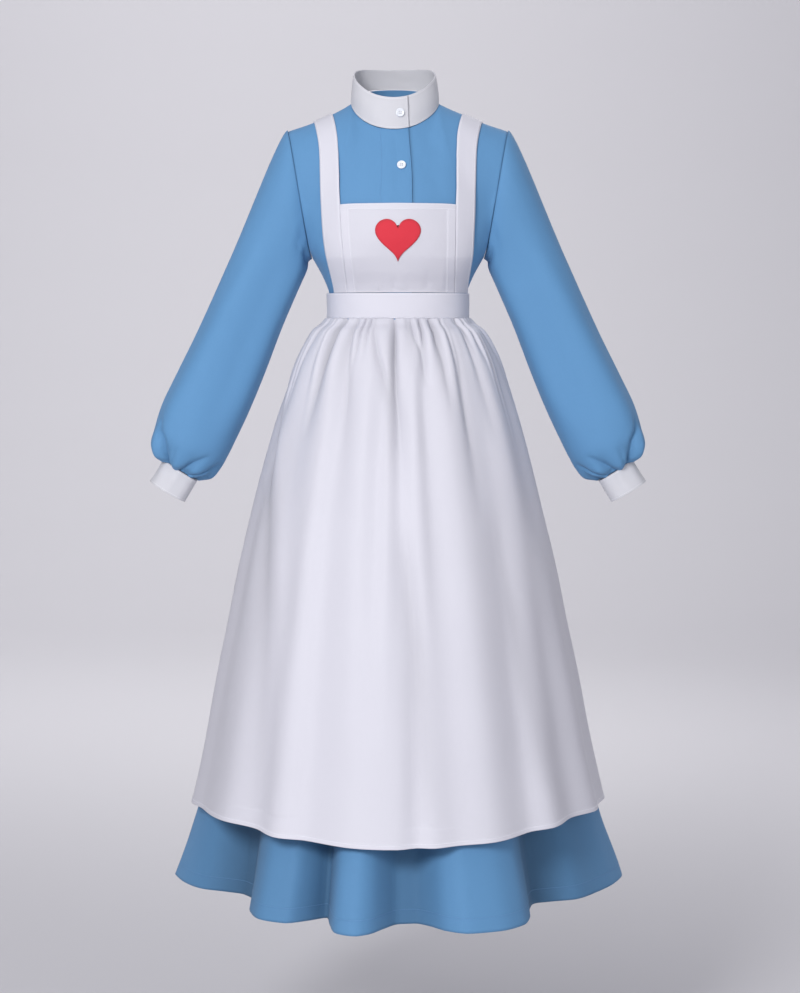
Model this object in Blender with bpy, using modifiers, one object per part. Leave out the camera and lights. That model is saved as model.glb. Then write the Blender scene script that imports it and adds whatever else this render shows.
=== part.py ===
"""Nurse uniform dress: a long dress with a stand collar and bishop sleeves, under a pinafore apron.

It stands in its worn form with no wearer. The origin is the middle of the neck base, +X is the wearer's
left side, -Y the front and +Z up. Tables and functions are in millimetres; shell() makes them metres.
"""
import bmesh
import bpy
import numpy as np

MM = 0.001
DRESS_CLOTH = 1.5
APRON_CLOTH = 1.2
DOUBLE_CLOTH = 2.2
SEAM = 0.17  # each edge stands back this far, so pieces are 0.3 mm apart
ON_DRESS = 4.2  # from the inside of the dress to the inside of the apron, over the lapped front

WAIST, BAND_TOP, BAND_BOTTOM, HEM = -340.0, -318.0, -361.0, -1318.0
BAND_EDGE = BAND_TOP - 1.2  # the bib and straps lean out over the band, so it ends a little lower
BODICE = 290.0  # height at the side of the neck
ARMPIT = 81 / BODICE

# Neck base: half width, depth at the front and the back
NECK_WIDE, NECK_FRONT, NECK_BACK = 72.0, 65.0, 60.0
NECK_SHIFT = 7.0  # the neck leans to the wearer's right
NECK_SHARE = 0.44  # of the top edge from the centre to the shoulder tip

# x, z of the shoulder seam
SHOULDER = ((72, -1.5), (92, -12), (112, -21), (144, -34.5), (185, -48))

# z, x of the side seam
SIDE = ((-340, 114.5), (-326, 114.6), (-316, 115.5), (-307, 118.5), (-290, 126), (-259, 143))

# x, y, z of the armhole from the armpit to the shoulder tip
ARMHOLE_FRONT = ((143, 0, -259), (144, -20, -256), (147, -35, -245), (152, -49, -220), (158, -57, -188),
                 (165, -59, -150), (171, -55, -115), (176, -45, -87), (180, -31, -67.5), (183.5, -14, -53.5),
                 (185, 4, -48))
ARMHOLE_BACK = ((143, 0, -259), (144, 19, -257), (148, 34, -246), (154, 46, -220), (161, 52, -188),
                (168, 55, -150), (174, 52, -115), (178, 44, -87), (181, 33, -67.5), (184, 19, -53.5),
                (185, 4, -48))

# z, y of the centre front and the centre back
CENTRE_FRONT = ((-340, -88), (-317, -88.2), (-303, -93.5), (-280, -107), (-252, -118), (-228, -122),
                (-192, -119), (-150, -107), (-110, -90.5), (-75, -74.5), (-50, -65))
CENTRE_BACK = ((-340, 84), (-322, 84.5), (-300, 88), (-259, 95), (-200, 102), (-150, 104), (-100, 99),
               (-50, 85), (0, 68), (27, 60))

# Height share v, power of sine and cosine across the bodice
ROUND = ((0, 0.91), (0.1, 0.9), (0.2755, 0.8), (1, 0.8))

# Across share u, direction in which the cloth arrives at the top edge
ARRIVE_FRONT = ((0, 0, 75, 190), (0.22, 2, 120, 160), (0.44, 0, 210, 50), (0.7, 0, 225, 22), (1, 8, 200, 10))
ARRIVE_BACK = ((0, 0, -75, 215), (0.22, 2, -125, 185), (0.44, 0, -210, 70), (0.7, 0, -225, 30),
               (1, 8, -200, 15))

# z, half width, front depth, back depth, power of sine and cosine: the dress skirt's crests
DRESS = ((-340, 114.5, 88, 84, 0.91), (-361, 115.5, 89.5, 86, 0.91), (-375, 121, 95, 92, 0.92),
         (-400, 138, 110, 106, 0.94), (-430, 155, 125, 121, 0.96), (-470, 172, 142, 138, 0.98),
         (-520, 190, 163, 160, 1), (-600, 213, 191, 188, 1), (-700, 240, 225, 221, 1),
         (-800, 263, 256, 249, 1), (-900, 284, 284, 276, 1), (-1000, 304, 308, 302, 1),
         (-1100, 324, 333, 326, 1), (-1188, 342, 353, 346, 1), (-1318, 387, 408, 392, 1))

# z, half width, front depth, back depth, power, then depth of gathers, high folds, low folds: the apron
APRON = ((-361, 119.9, 93.4, 89.4, 0.91, 2.0, 0, 0), (-371, 127, 101, 96.5, 0.92, 3.2, 0, 0),
         (-381, 140, 112, 107.5, 0.93, 3.6, 0, 0), (-400, 153, 124, 119, 0.94, 3.6, 1, 0),
         (-437, 172, 142, 136, 0.96, 2.8, 2.5, 0), (-468, 183, 154.5, 149, 0.98, 1.9, 3.5, 0),
         (-520, 200, 175, 169, 1, 0.7, 4.5, 0), (-604, 223.5, 204, 198, 1, 0, 5, 0),
         (-700, 248, 235, 227, 1, 0, 4.5, 1.5), (-790, 268, 263, 252, 1, 0, 3.5, 3.5),
         (-900, 291, 293, 282, 1, 0, 2, 5), (-1000, 311, 319, 309, 1, 0, 1, 6.5),
         (-1100, 330, 345, 334, 1, 0, 0, 7.5), (-1200, 354, 373, 357, 1, 0, 0, 8.5))

# Degrees from the front towards the wearer's left, share of the crest's depth: the dress hem
HEM_FOLDS = ((-90, 0.992), (-81, 0.95), (-74, 0.9), (-68, 0.81), (-62, 0.75), (-57, 0.745), (-50, 0.81),
             (-44, 0.88), (-36, 0.94), (-30, 0.93), (-26, 0.855), (-22, 0.78), (-18.5, 0.87), (-14, 1.0),
             (-10, 1.02), (-7, 0.985), (-4, 0.9), (0, 0.825), (5, 0.82), (9, 0.87), (12, 0.95),
             (17, 1.015), (24, 1.02), (31, 0.985), (37, 0.9), (43, 0.8), (49, 0.755), (55, 0.8),
             (61, 0.87), (70, 0.91), (81, 0.965), (91, 1.0), (99, 0.985), (106, 0.93), (112, 0.83),
             (118, 0.75), (124, 0.75), (130, 0.84), (136, 0.93), (143, 0.97), (149, 0.94), (155, 0.85),
             (161, 0.77), (167, 0.77), (173, 0.86), (179, 0.95), (186, 0.985), (192, 0.95), (198, 0.86),
             (204, 0.76), (210, 0.77), (217, 0.87), (224, 0.95), (231, 0.975), (238, 0.93), (245, 0.83),
             (251, 0.77), (257, 0.84), (263, 0.94), (270, 0.992))

# Degrees, share of the depth of the apron's folds: above, and at its hem
HIGH_FOLDS = ((-150, 0), (-140, 0.6), (-128, -0.7), (-114, 0.8), (-100, -0.7), (-86, 0.6), (-74, -0.5),
              (-64, 0.6), (-51, -1), (-35, 1), (-28, -0.9), (-15, 0.9), (-8, -0.6), (-4, 0.4), (0.7, -1.3),
              (7.6, 0.7), (13, -0.9), (24, 1), (42, -1), (55, 0.8), (68, -0.6), (80, 0.6), (92, -0.6),
              (106, 0.8), (120, -0.8), (136, 0.7), (150, 0))
LOW_FOLDS = ((-150, 0), (-138, 0.8), (-124, -0.8), (-108, 0.7), (-95, -0.4), (-84, 0.5), (-73, -0.6),
             (-54, 0.9), (-42, -1), (-33, 0.9), (-25, -0.8), (-10, 0.8), (0, 0.5), (5, -0.7), (9.5, 0.4),
             (15.6, -0.2), (25, 1), (38, -0.9), (45, 0.8), (56.5, -1), (68, 0.6), (78, -0.5), (88, 0.5),
             (100, -0.5), (112, 0.8), (126, -0.9), (139, 0.8), (150, 0))
GATHERS, APRON_HALF = 30, 150.0  # gathers across the apron's skirt, degrees from its front to each end

# Degrees, z of the apron's hem
APRON_HEM = ((-150, -1180), (-90, -1184), (-55, -1176), (-30, -1184), (0, -1190), (30, -1184),
             (55, -1176), (90, -1180), (150, -1180))

# Share of the sleeve, x and z of its outer line, x and z of its inner line, half depth, y of the middle
SLEEVE = ((0.30, 281.5, -262, 171, -316, 57, -4), (0.40, 311.5, -326, 198, -378, 58, -7),
          (0.52, 343.5, -394, 226, -450, 59, -11), (0.64, 374.5, -456, 251, -511, 61, -16),
          (0.76, 401, -511, 275, -564, 63, -21), (0.84, 411.5, -545, 289, -592, 62, -24),
          (0.90, 416, -567, 303, -613, 55, -27), (0.95, 410, -584, 318, -625, 44, -29),
          (0.975, 400, -591.5, 333, -627.5, 33, -30), (1, 392.5, -597, 341, -631, 28, -31))
SLEEVE_FREE = 0.30  # from here the sleeve no longer follows the armhole
SLEEVE_GATHERS = 12
CUFF = ((0, 393.1, -599.3, 341.6, -633.3, 28, -31), (1, 416, -636, 362, -668, 29.5, -38))

# v of the bodice's rows below the armpit, then shares of the armhole
LOW_ROWS = (0, (BAND_TOP - WAIST) / BODICE, 0.17)
ARM_ROWS = (0, 0.055, 0.12, 0.19, 0.27, 0.36, 0.45, 0.54, 0.63, 0.72, 0.81, 0.91, 1)
ROWS = np.array(LOW_ROWS + tuple(ARMPIT + (1 - ARMPIT) * s for s in ARM_ROWS))

# v, x of the strap's inner and outer edge, at the front and the back
STRAP_FRONT = ((0, 84, 107), (0.075, 85.5, 108), (0.3, 90, 119.5), (0.53, 94, 126), (0.75, 98, 130),
               (0.9, 105, 137), (1, 110, 142))
STRAP_BACK = ((0, 46, 77), (0.075, 48, 79), (0.3, 60, 92), (0.6, 80, 112), (0.85, 100, 132),
              (1, 110, 142))
STRAP_SKEW = 5.0  # both straps stand this far to the wearer's left at the waist
BIB_TOP = -174.0
LAP_RIGHT, LAP_LEFT = 23.0, -8.0  # x of the two front edges


def along(table, t):
    """The other columns of a table at t, with a smooth line through its rows that doesn't overshoot."""
    rows = np.array(sorted(table, key=lambda row: row[0]), float)
    x, y = rows[:, 0], rows[:, 1:]
    h = np.diff(x)[:, None]
    d = np.diff(y, axis=0) / h
    m = np.vstack([d[:1], np.zeros_like(d[1:]), d[-1:]])
    same = d[:-1] * d[1:] > 0
    a, b = 2 * h[1:] + h[:-1], h[1:] + 2 * h[:-1]
    m[1:-1] = np.where(same, (a + b) / (a / np.where(same, d[:-1], 1) + b / np.where(same, d[1:], 1)), 0)
    t = np.clip(np.asarray(t, float), x[0], x[-1])
    i = np.clip(np.searchsorted(x, t, side="right") - 1, 0, len(x) - 2)
    s, h = ((t - x[i]) / h[i, 0])[..., None], h[i]
    return ((1 + 2 * s) * (1 - s) ** 2 * y[i] + s * (1 - s) ** 2 * h * m[i]
            + s * s * (3 - 2 * s) * y[i + 1] + s * s * (s - 1) * h * m[i + 1])


def by_length(points, start=0.0, end=1.0):
    """Points with a first column that runs from start to end with their chord length."""
    points = np.array(points, float)
    run = np.append(0, np.cumsum(np.linalg.norm(np.diff(points, axis=0), axis=1)))
    return np.column_stack([start + (end - start) * run / run[-1], points])


def ease(t):
    t = np.clip(t, 0, 1)
    return t * t * (3 - 2 * t)


def hermite(p, dp, q, dq, s):
    return ((1 + 2 * s) * (1 - s) ** 2 * p + s * (1 - s) ** 2 * dp
            + s * s * (3 - 2 * s) * q + s * s * (s - 1) * dq)


def unit(v):
    return v / np.maximum(np.linalg.norm(v, axis=-1, keepdims=True), 1e-9)


def outward(f, u, v, off, du=1e-3, dv=1e-3, low=(-1e9, -1e9), high=(1e9, 1e9)):
    """Points of the surface f, moved out along its own direction by off."""
    across = f(np.minimum(u + du, high[0]), v) - f(np.maximum(u - du, low[0]), v)
    up = f(u, np.minimum(v + dv, high[1])) - f(u, np.maximum(v - dv, low[1]))
    return f(u, v) + np.asarray(off)[..., None] * unit(np.cross(across, up))


def neck_ring(t):
    """The neck base at an angle of t degrees from the front."""
    c, s = np.cos(np.radians(t)), np.sin(np.radians(t))
    y = np.where(c > 0, -NECK_FRONT * c, -NECK_BACK * c)
    return np.stack([NECK_WIDE * s, y, -6.5 - 38.5 * c - 5 * np.cos(2 * np.radians(t))], -1)


def top_edge(back, u):
    """Neckline and shoulder seam, from the centre at 0 to the shoulder tip at 1."""
    t = np.clip(u / NECK_SHARE, 0, 1) * 90
    seam = by_length(SHOULDER)
    xz = along(seam, (u - NECK_SHARE) / (1 - NECK_SHARE))
    at = np.clip((u - NECK_SHARE) / (1 - NECK_SHARE), 0, 1)
    shoulder = np.stack([xz[..., 0], 4 * at, xz[..., 1]], -1)
    return np.where((u < NECK_SHARE)[..., None], neck_ring(180 - t if back else t), shoulder)


def side_edge(back, v):
    """Side seam and armhole."""
    z = WAIST + BODICE * np.minimum(v, ARMPIT)
    x = along(SIDE, z)[..., 0]
    seam = np.stack([x, 0 * x, z], -1)
    arm = along(by_length(ARMHOLE_BACK if back else ARMHOLE_FRONT, ARMPIT, 1), v)
    return np.where((v < ARMPIT)[..., None], seam, arm)


def centre_edge(back, v):
    z = WAIST + BODICE * v
    if back:
        z = np.where(v < ARMPIT, z, -259 + 286 * (v - ARMPIT) / (1 - ARMPIT))
    y = along(CENTRE_BACK if back else CENTRE_FRONT, z)[..., 0]
    return np.stack([0 * y, y, z], -1)


def level(back, u, v):
    """A level line across the bodice, for u from 0 to 1."""
    side, mid, p = side_edge(back, v), centre_edge(back, v), along(ROUND, v)[..., 0]
    s, c = np.sin(u * np.pi / 2) ** p, np.maximum(np.cos(u * np.pi / 2), 0) ** p
    return np.stack([side[..., 0] * s, side[..., 1] + (mid[..., 1] - side[..., 1]) * c,
                     mid[..., 2] + (side[..., 2] - mid[..., 2]) * u * u], -1)


def soft_top(back, u):
    """The top edge with its corner at the side of the neck rounded off."""
    total, weights = 0.0, 0.0
    for step in np.linspace(-2, 2, 9):
        w = u + 0.09 * step
        p = top_edge(back, np.abs(w)) * np.stack([np.sign(w) + (w == 0), 0 * w + 1, 0 * w + 1], -1)
        weight = np.exp(-step * step / 2)
        total, weights = total + weight * p, weights + weight
    return total / weights


def half_torso(back, u, v):
    start, h = np.full_like(v, ARMPIT), 0.02
    s = np.clip((v - ARMPIT) / (1 - ARMPIT), 0, 1)[..., None]

    def column(w):
        """From the armpit's level up to the top edge, leaving upward and arriving over the shoulder."""
        p = level(back, w, start)
        rise = (p - level(back, w, start - h)) / h
        leave = np.stack([0.35 * rise[..., 0], 0.1 * rise[..., 1], 0 * v + (250 if back else 225)], -1)
        top = soft_top(back, w)
        smooth = hermite(p, leave, top, along(ARRIVE_BACK if back else ARRIVE_FRONT, w), s)
        return smooth + (top_edge(back, w) - top) * s ** 5

    high = column(u)
    high = high + (u ** 4)[..., None] * (side_edge(back, v) - column(np.ones_like(u)))
    high = high + ((1 - u) ** 3)[..., None] * (centre_edge(back, v) - column(np.zeros_like(u)))
    return np.where((v < ARMPIT)[..., None], level(back, u, v), high)


def torso(back, u, v):
    """The inside of the bodice: u from -1 at the wearer's right to 1 at the left, v from 0 at the waist."""
    u, v = np.broadcast_arrays(np.asarray(u, float), np.asarray(v, float))
    p = half_torso(back, np.minimum(np.abs(u), 1), np.clip(v, 0, 1))
    return p * np.stack([np.where(u < 0, -1.0, 1.0), np.ones_like(u), np.ones_like(u)], -1)


def u_table(back, across=49, up=97):
    """For steps of the width's arcsine and of v, the u at which the bodice is that wide."""
    share, v = np.meshgrid(np.sin(np.linspace(0, np.pi / 2, across)), np.linspace(0, 1, up), indexing="ij")
    wide = share * side_edge(back, v)[..., 0]
    low, high = np.zeros_like(v), np.ones_like(v)
    for _ in range(22):
        mid = (low + high) / 2
        short = torso(back, mid, v)[..., 0] < wide
        low, high = np.where(short, mid, low), np.where(short, high, mid)
    return (low + high) / 2


def u_at(back, x, v):
    """The u at which the bodice is x from its middle, on the row v."""
    x, v = np.broadcast_arrays(np.asarray(x, float), np.clip(np.asarray(v, float), 0, 1))
    table = U_TABLES[back]
    share = np.clip(np.abs(x) / side_edge(back, v)[..., 0], 0, 1)
    i, j = np.arcsin(share) * 2 / np.pi * (table.shape[0] - 1), v * (table.shape[1] - 1)
    a, b = np.minimum(i.astype(int), table.shape[0] - 2), np.minimum(j.astype(int), table.shape[1] - 2)
    i, j = i - a, j - b
    return np.sign(x) * ((1 - i) * ((1 - j) * table[a, b] + j * table[a, b + 1])
                         + i * ((1 - j) * table[a + 1, b] + j * table[a + 1, b + 1]))


U_TABLES = {back: u_table(back) for back in (False, True)}


def ring(table, angle, z, extra=0.0):
    """A level ring of a table of half widths and depths, moved out by extra."""
    row = along(table, z)
    a, front, back, p = (row[..., i] for i in range(4))
    s, c = np.sin(np.radians(angle)), np.cos(np.radians(angle))
    x = (a + extra) * np.sign(s) * np.abs(s) ** p
    y = -(np.where(c > 0, front, back) + extra) * np.sign(c) * np.abs(c) ** p
    return np.stack([x, y, z + 0 * x], -1)


def lean(points):
    """Points near the neck, moved to the wearer's right."""
    x, z = points[..., 0], points[..., 2]
    shift = NECK_SHIFT * ease((z + 140) / 120) * ease((130 - np.abs(x)) / 90)
    return np.stack([x - shift, points[..., 1], z], -1)


def material(name, color, rough):
    found = bpy.data.materials.new(name)
    found.use_nodes = True
    bsdf = found.node_tree.nodes["Principled BSDF"]
    bsdf.inputs["Base Color"].default_value = (*color, 1)
    bsdf.inputs["Roughness"].default_value = rough
    return found


def shell(name, f, cols, rows, thickness, stuff, closed=False, fine=None, back_off=(1, 1, 1, 1)):
    """A cloth wall: a grid laid through the surface f(col, row), then solidified outward.

    Each col and row is an index of the grid. fine is a test of rows whose columns are doubled. back_off
    says which edges stand back for a seam: first and last column, first and last row.
    """
    mesh = bpy.data.meshes.new(name)
    obj = bpy.data.objects.new(name, mesh)
    home.objects.link(obj)
    bm = bmesh.new()
    bmesh.ops.create_grid(bm, x_segments=cols, y_segments=rows, size=0.5)
    if fine:
        level_edges = [e for e in bm.edges if abs(e.verts[0].co.y - e.verts[1].co.y) < 1e-6
                       and fine((e.verts[0].co.y + 0.5) * rows)]
        bmesh.ops.subdivide_edges(bm, edges=level_edges, cuts=1, use_grid_fill=True)
    q = np.array([((v.co.x + 0.5) * cols, (v.co.y + 0.5) * rows) for v in bm.verts])
    q = np.round(q, 4)
    points = f(q[:, 0], q[:, 1])
    sewn = points.copy()
    for axis, last in ((0, cols), (1, rows)):
        for edge, place in ((0, 0), (1, last)):
            if back_off[2 * axis + edge] and not (closed and axis == 0):
                here = np.abs(q[:, axis] - place) < 1e-3
                into = q[here]
                into[:, axis] = abs(place - 0.25)
                sewn[here] += SEAM * back_off[2 * axis + edge] * unit(f(*into.T) - points[here])
    for v, p in zip(bm.verts, lean(sewn)):
        v.co = p * MM
    if closed:
        bmesh.ops.remove_doubles(bm, verts=bm.verts, dist=1e-6)
    bm.to_mesh(mesh)
    bm.free()
    mesh.materials.append(stuff)
    solidify = obj.modifiers.new("cloth", "SOLIDIFY")
    solidify.thickness = thickness * MM
    solidify.offset = 1
    solidify.use_even_offset = False
    solidify.use_quality_normals = True
    obj.modifiers.new("triangles", "TRIANGULATE")
    return obj


def picked(values, index):
    """Values between the whole numbers of an index, in straight lines."""
    return np.interp(index, np.arange(len(values)), values)


# Columns of the fronts: u, or x in mm near the lapped edges
RIGHT_U = (1, 0.93, 0.84, 0.73, 0.59, 0.44, 0.36, 0.27)
RIGHT_X = (-26, -10, 5, LAP_RIGHT)
LEFT_U = (0.27, 0.36, 0.44, 0.59, 0.73, 0.84, 0.93, 1)
LEFT_X = (LAP_LEFT, 8)


def front_u(col, v, outer, inner, outer_first):
    """The u of a column that is given by u near the side and by x near the middle."""
    by_u = [np.full_like(v, -s if outer_first else s) for s in outer]
    by_x = [u_at(False, np.full_like(v, x), v) for x in inner]
    every = np.array(by_u + by_x if outer_first else by_x + by_u)
    i = np.clip(np.floor(col).astype(int), 0, len(every) - 2)
    part, n = col - i, np.arange(len(col))
    return every[i, n] * (1 - part) + every[i + 1, n] * part


def lapped(u, v):
    """The right front, raised over the left one near its edge."""
    p = torso(False, u, v)
    lift = 1.9 * ease((p[..., 0] + 30) / 20)
    return outward(lambda a, b: torso(False, a, b), u, v, lift, low=(-1, 0), high=(1, 1))


def right_front(col, row):
    v = picked(ROWS, row)
    return lapped(front_u(col, v, RIGHT_U, RIGHT_X, True), v)


def left_front(col, row):
    v = picked(ROWS, row)
    return torso(False, front_u(col, v, LEFT_U, LEFT_X, False), v)


BACK_U = (-1, -0.93, -0.84, -0.72, -0.58, -0.44, -0.3, -0.15, 0, 0.15, 0.3, 0.44, 0.58, 0.72, 0.84, 0.93, 1)


def whole_back(col, row):
    return torso(True, -picked(BACK_U, col), picked(ROWS, row))


def build_bodice():
    n = len(ROWS) - 1
    shell("bodice_front_right", right_front, len(RIGHT_U + RIGHT_X) - 1, n, DRESS_CLOTH, blue,
          back_off=(1, 0, 1, 1))
    shell("bodice_front_left", left_front, len(LEFT_X + LEFT_U) - 1, n, DRESS_CLOTH, blue,
          back_off=(0, 1, 1, 1))
    shell("bodice_back", whole_back, len(BACK_U) - 1, n, DRESS_CLOTH, blue)


SKIRT_Z = (WAIST - 0.2, -361, -378, -410, -460, -530, -620, -730, -860, -1000, -1160, HEM)


def skirt(angle, z):
    """The inside of the dress skirt, with folds that grow to the hem."""
    wide = ring(DRESS, angle, z)
    grow = np.clip((-380 - z) / (-380 - HEM), 0, 1) ** 1.3
    share = 1 - (1 - along(HEM_FOLDS, (angle + 90) % 360 - 90)[..., 0]) * grow
    return wide * np.stack([share, share, np.ones_like(share)], -1)


def build_skirt():
    angles = [row[0] for row in HEM_FOLDS]
    turn = angles.index(91)
    for name, part in (("skirt_front", [-89.999] + angles[1:turn] + [90.0]),
                       ("skirt_back", [90.0] + angles[turn + 1:-1] + [269.999])):
        shell(name, lambda c, r, part=part: skirt(picked(part, c), picked(SKIRT_Z[::-1], r)),
              len(part) - 1, len(SKIRT_Z) - 1, DRESS_CLOTH, blue, back_off=(1, 1, 0, 1))


COLLAR_FROM, COLLAR_TO, COLLAR_COLS = -8.8, 379.2, 40


def collar(angle, h):
    """The inside of the collar at an angle and a share of its height; its last part laps over the first."""
    r = np.radians(angle)
    c, s = np.cos(r), np.sin(r)
    base = neck_ring(angle % 360) + np.stack([0 * c, 0 * c, 1.95 + 1.4 * s ** 4], -1)
    top = np.stack([67 * s, np.where(c > 0, -60 * c, -53 * c), 39.5 - 28 * c - 7.5 * np.cos(2 * r)], -1)
    p = base + (top - base) * h[..., None]
    away = unit(np.stack([s, -c, 0 * c], -1))
    bulge = 1.2 * np.sin(np.pi * np.clip(h, 0, 1)) + (DOUBLE_CLOTH + 0.45) * ease((angle - 318) / 32)
    return p + away * bulge[..., None]


def build_collar():
    shell("collar", lambda c, r: collar(COLLAR_FROM + (COLLAR_TO - COLLAR_FROM) * c / COLLAR_COLS, r / 2),
          COLLAR_COLS, 2, DOUBLE_CLOTH, white, back_off=(0, 0, 0, 0))


def armhole(share):
    """The armhole for a share of a turn: 0 at the shoulder tip, 0.25 at the front, 0.5 at the armpit."""
    front = along(by_length(ARMHOLE_FRONT), np.clip(1 - 2 * share, 0, 1))
    back = along(by_length(ARMHOLE_BACK), np.clip(2 * share - 1, 0, 1))
    return np.where((share < 0.5)[..., None], front, back)


def sleeve_ring(table, share, s):
    row = along(table, s)
    outer, inner, deep, mid = row[..., 0:2], row[..., 2:4], row[..., 4], row[..., 5]
    c, n = np.cos(2 * np.pi * share), np.sin(2 * np.pi * share)
    xz = (outer + inner) / 2 + c[..., None] * (outer - inner) / 2
    return np.stack([xz[..., 0], mid - n * deep, xz[..., 1]], -1)


def sleeve(share, s, gather=0.0):
    """The inside of the left sleeve: a share of a turn from the top to the front, and of its length."""
    share, s = np.broadcast_arrays(np.asarray(share, float), np.asarray(s, float))
    share = share % 1
    c, n = np.cos(2 * np.pi * share), np.sin(2 * np.pi * share)
    up, down, side = np.maximum(c, 0), np.maximum(-c, 0), np.abs(n)

    def mix(top, under, front):
        return (up[..., None] * np.array(top, float) + down[..., None] * np.array(under, float)
                + side[..., None] * np.stack([front[0] + 0 * n, np.sign(n) * front[1], front[2] + 0 * n], -1))

    rest = unit(mix((0.2, 0, 0.98), (1, 0, -0.12), (0.45, -0.89, 0)))
    start = armhole(share) + (2.1 + 0.9 * down[..., None]) * rest
    leave = mix((48, 0, -29), (30, 0, -22), (60, -42, -46))
    free = np.full_like(s, SLEEVE_FREE)
    end, step = sleeve_ring(SLEEVE, share, free), 0.02
    arrive = (sleeve_ring(SLEEVE, share, free + step) - end) / step * SLEEVE_FREE
    cap = hermite(start, leave, end, arrive, (s / SLEEVE_FREE)[..., None])
    p = np.where((s < SLEEVE_FREE)[..., None], cap, sleeve_ring(SLEEVE, share, s))
    row = along(SLEEVE, np.maximum(s, SLEEVE_FREE))
    middle = np.stack([(row[..., 0] + row[..., 2]) / 2, row[..., 5], (row[..., 1] + row[..., 3]) / 2], -1)
    return p + unit(p - middle) * np.asarray(gather + 0 * s)[..., None]


SLEEVE_S = (0, 0.06, 0.16, 0.3, 0.45, 0.6, 0.74, 0.84, 0.91, 0.96, 1)
SLEEVE_DEPTH = ((0, 0), (0.6, 0), (0.76, 0.8), (0.84, 2.2), (0.9, 3.2), (0.95, 3), (0.98, 2), (1, 1))
TURN = np.concatenate([(1 - np.array(ARM_ROWS[::-1])) / 2, 0.5 + np.array(ARM_ROWS[1:]) / 2])


def on_side(f, side, cols):
    """A surface made for the wearer's left, or its mirror image; its columns keep the outside out."""
    if side > 0:
        return lambda c, r: f(cols - c, r)
    return lambda c, r: f(c, r) * np.array([-1, 1, 1])


def build_sleeves():
    cols, n = len(TURN) - 1, len(SLEEVE_S) - 1

    def wall(c, r):
        s = picked(SLEEVE_S[::-1], r)
        wave = np.cos(2 * np.pi * SLEEVE_GATHERS * c / cols)
        return sleeve(picked(TURN, c), s, along(SLEEVE_DEPTH, s)[..., 0] * wave)

    for name, side in (("sleeve_left", 1), ("sleeve_right", -1)):
        shell(name, on_side(wall, side, cols), cols, n, DRESS_CLOTH, blue, closed=True,
              fine=lambda row: row < 4.5, back_off=(0, 0, 1, 0))


def cuff(turn, h):
    """The inside of the left cuff for a share of a turn; its last part laps over its first."""
    row = sleeve_ring(CUFF, turn % 1, h)
    middle = np.stack([366.95 + 22.05 * h, -31 - 7 * h, -615.4 - 36.6 * h], -1)
    lift = (DOUBLE_CLOTH + 0.45) * ease((turn - CUFF_TO + 0.17) / 0.08)
    return row + unit(row - middle) * lift[..., None]


CUFF_FROM, CUFF_TO, CUFF_COLS = -0.62, 0.45, 28


def build_cuffs():
    def wall(c, r):
        return cuff(CUFF_FROM + (CUFF_TO - CUFF_FROM) * c / CUFF_COLS, 1 - r / 2)

    for name, side in (("cuff_left", 1), ("cuff_right", -1)):
        shell(name, on_side(wall, side, CUFF_COLS), CUFF_COLS, 2, DOUBLE_CLOTH, white,
              back_off=(0, 0, 0, 1))


def strap_edges(side, v):
    """x of the front strap's inner and outer edge, on its own side."""
    return along(STRAP_FRONT, v) + side * STRAP_SKEW * ease((0.55 - np.asarray(v)) / 0.55)[..., None]


def strap(side, s, w):
    """Base of a strap: s from -1 at its inner edge to 1, w from 0 at the front band over to 2 at the back."""
    v = np.where(w < 1, w, 2 - w)
    back = w >= 1
    edges = np.where(back[..., None], along(STRAP_BACK, v), strap_edges(side, v))
    x = edges[..., 0] + (edges[..., 1] - edges[..., 0]) * (s + 1) / 2
    front_point = torso(False, u_at(False, x, v), v)
    back_point = torso(True, u_at(True, x, v), v)
    return np.where(back[..., None], back_point, front_point) * np.array([side, 1, 1])


STRAP_ROWS = np.concatenate([ROWS[1:], 2 - ROWS[-2:0:-1]])


def strap_off(w):
    """Height of the strap over the inside of the dress, less at the shoulder, where nothing laps."""
    return 2.6 + (ON_DRESS - 2.6) * ease((np.abs(w - 1) - 0.12) / 0.3)


def build_straps():
    n = len(STRAP_ROWS) - 1

    def wall(c, r, side):
        w = picked(STRAP_ROWS, r)
        s = np.where(side > 0, c, 2 - c) - 1.0

        def f(a, b):
            return strap(side, a, b)

        p = outward(f, s, w, strap_off(w) * side, du=0.05, dv=0.004, low=(-1, 0), high=(1, 2))
        return p

    for name, side in (("apron_strap_left", 1), ("apron_strap_right", -1)):
        shell(name, lambda c, r, side=side: wall(c, r, side), 2, n, APRON_CLOTH, apron,
              back_off=(1, 1, 1, 1))


BIB_ROWS = [BAND_TOP] + [WAIST + BODICE * v for v in ROWS[2:] if WAIST + BODICE * v < BIB_TOP - 6] + [BIB_TOP]
BIB_S = (-1, -0.86, -0.68, -0.46, -0.23, 0, 0.23, 0.46, 0.68, 0.86, 1)


def v_at(x, z):
    """The v at which the front of the bodice is x from its middle and z high."""
    x, z = np.broadcast_arrays(x, z)
    low, high = np.zeros(x.shape), np.ones(x.shape)
    for _ in range(16):
        mid = (low + high) / 2
        short = torso(False, u_at(False, x, mid), mid)[..., 2] < z
        low, high = np.where(short, mid, low), np.where(short, high, mid)
    return (low + high) / 2


def strap_line(side):
    """z, x of the front strap's inner edge."""
    x = strap_edges(side, ROWS)[:, 0]
    return np.column_stack([torso(False, u_at(False, x, ROWS), ROWS)[:, 2], x])


INNER_LINES = {side: strap_line(side) for side in (-1, 1)}


def on_front(x, z, off):
    """A point on the front x from its middle and z high, moved out from the inside of the dress."""
    def base(a, b):
        v = v_at(a, b)
        return torso(False, u_at(False, a, v), v)
    return outward(base, np.asarray(x, float), np.asarray(z, float), off + 0 * z, du=0.8, dv=0.8)


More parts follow.
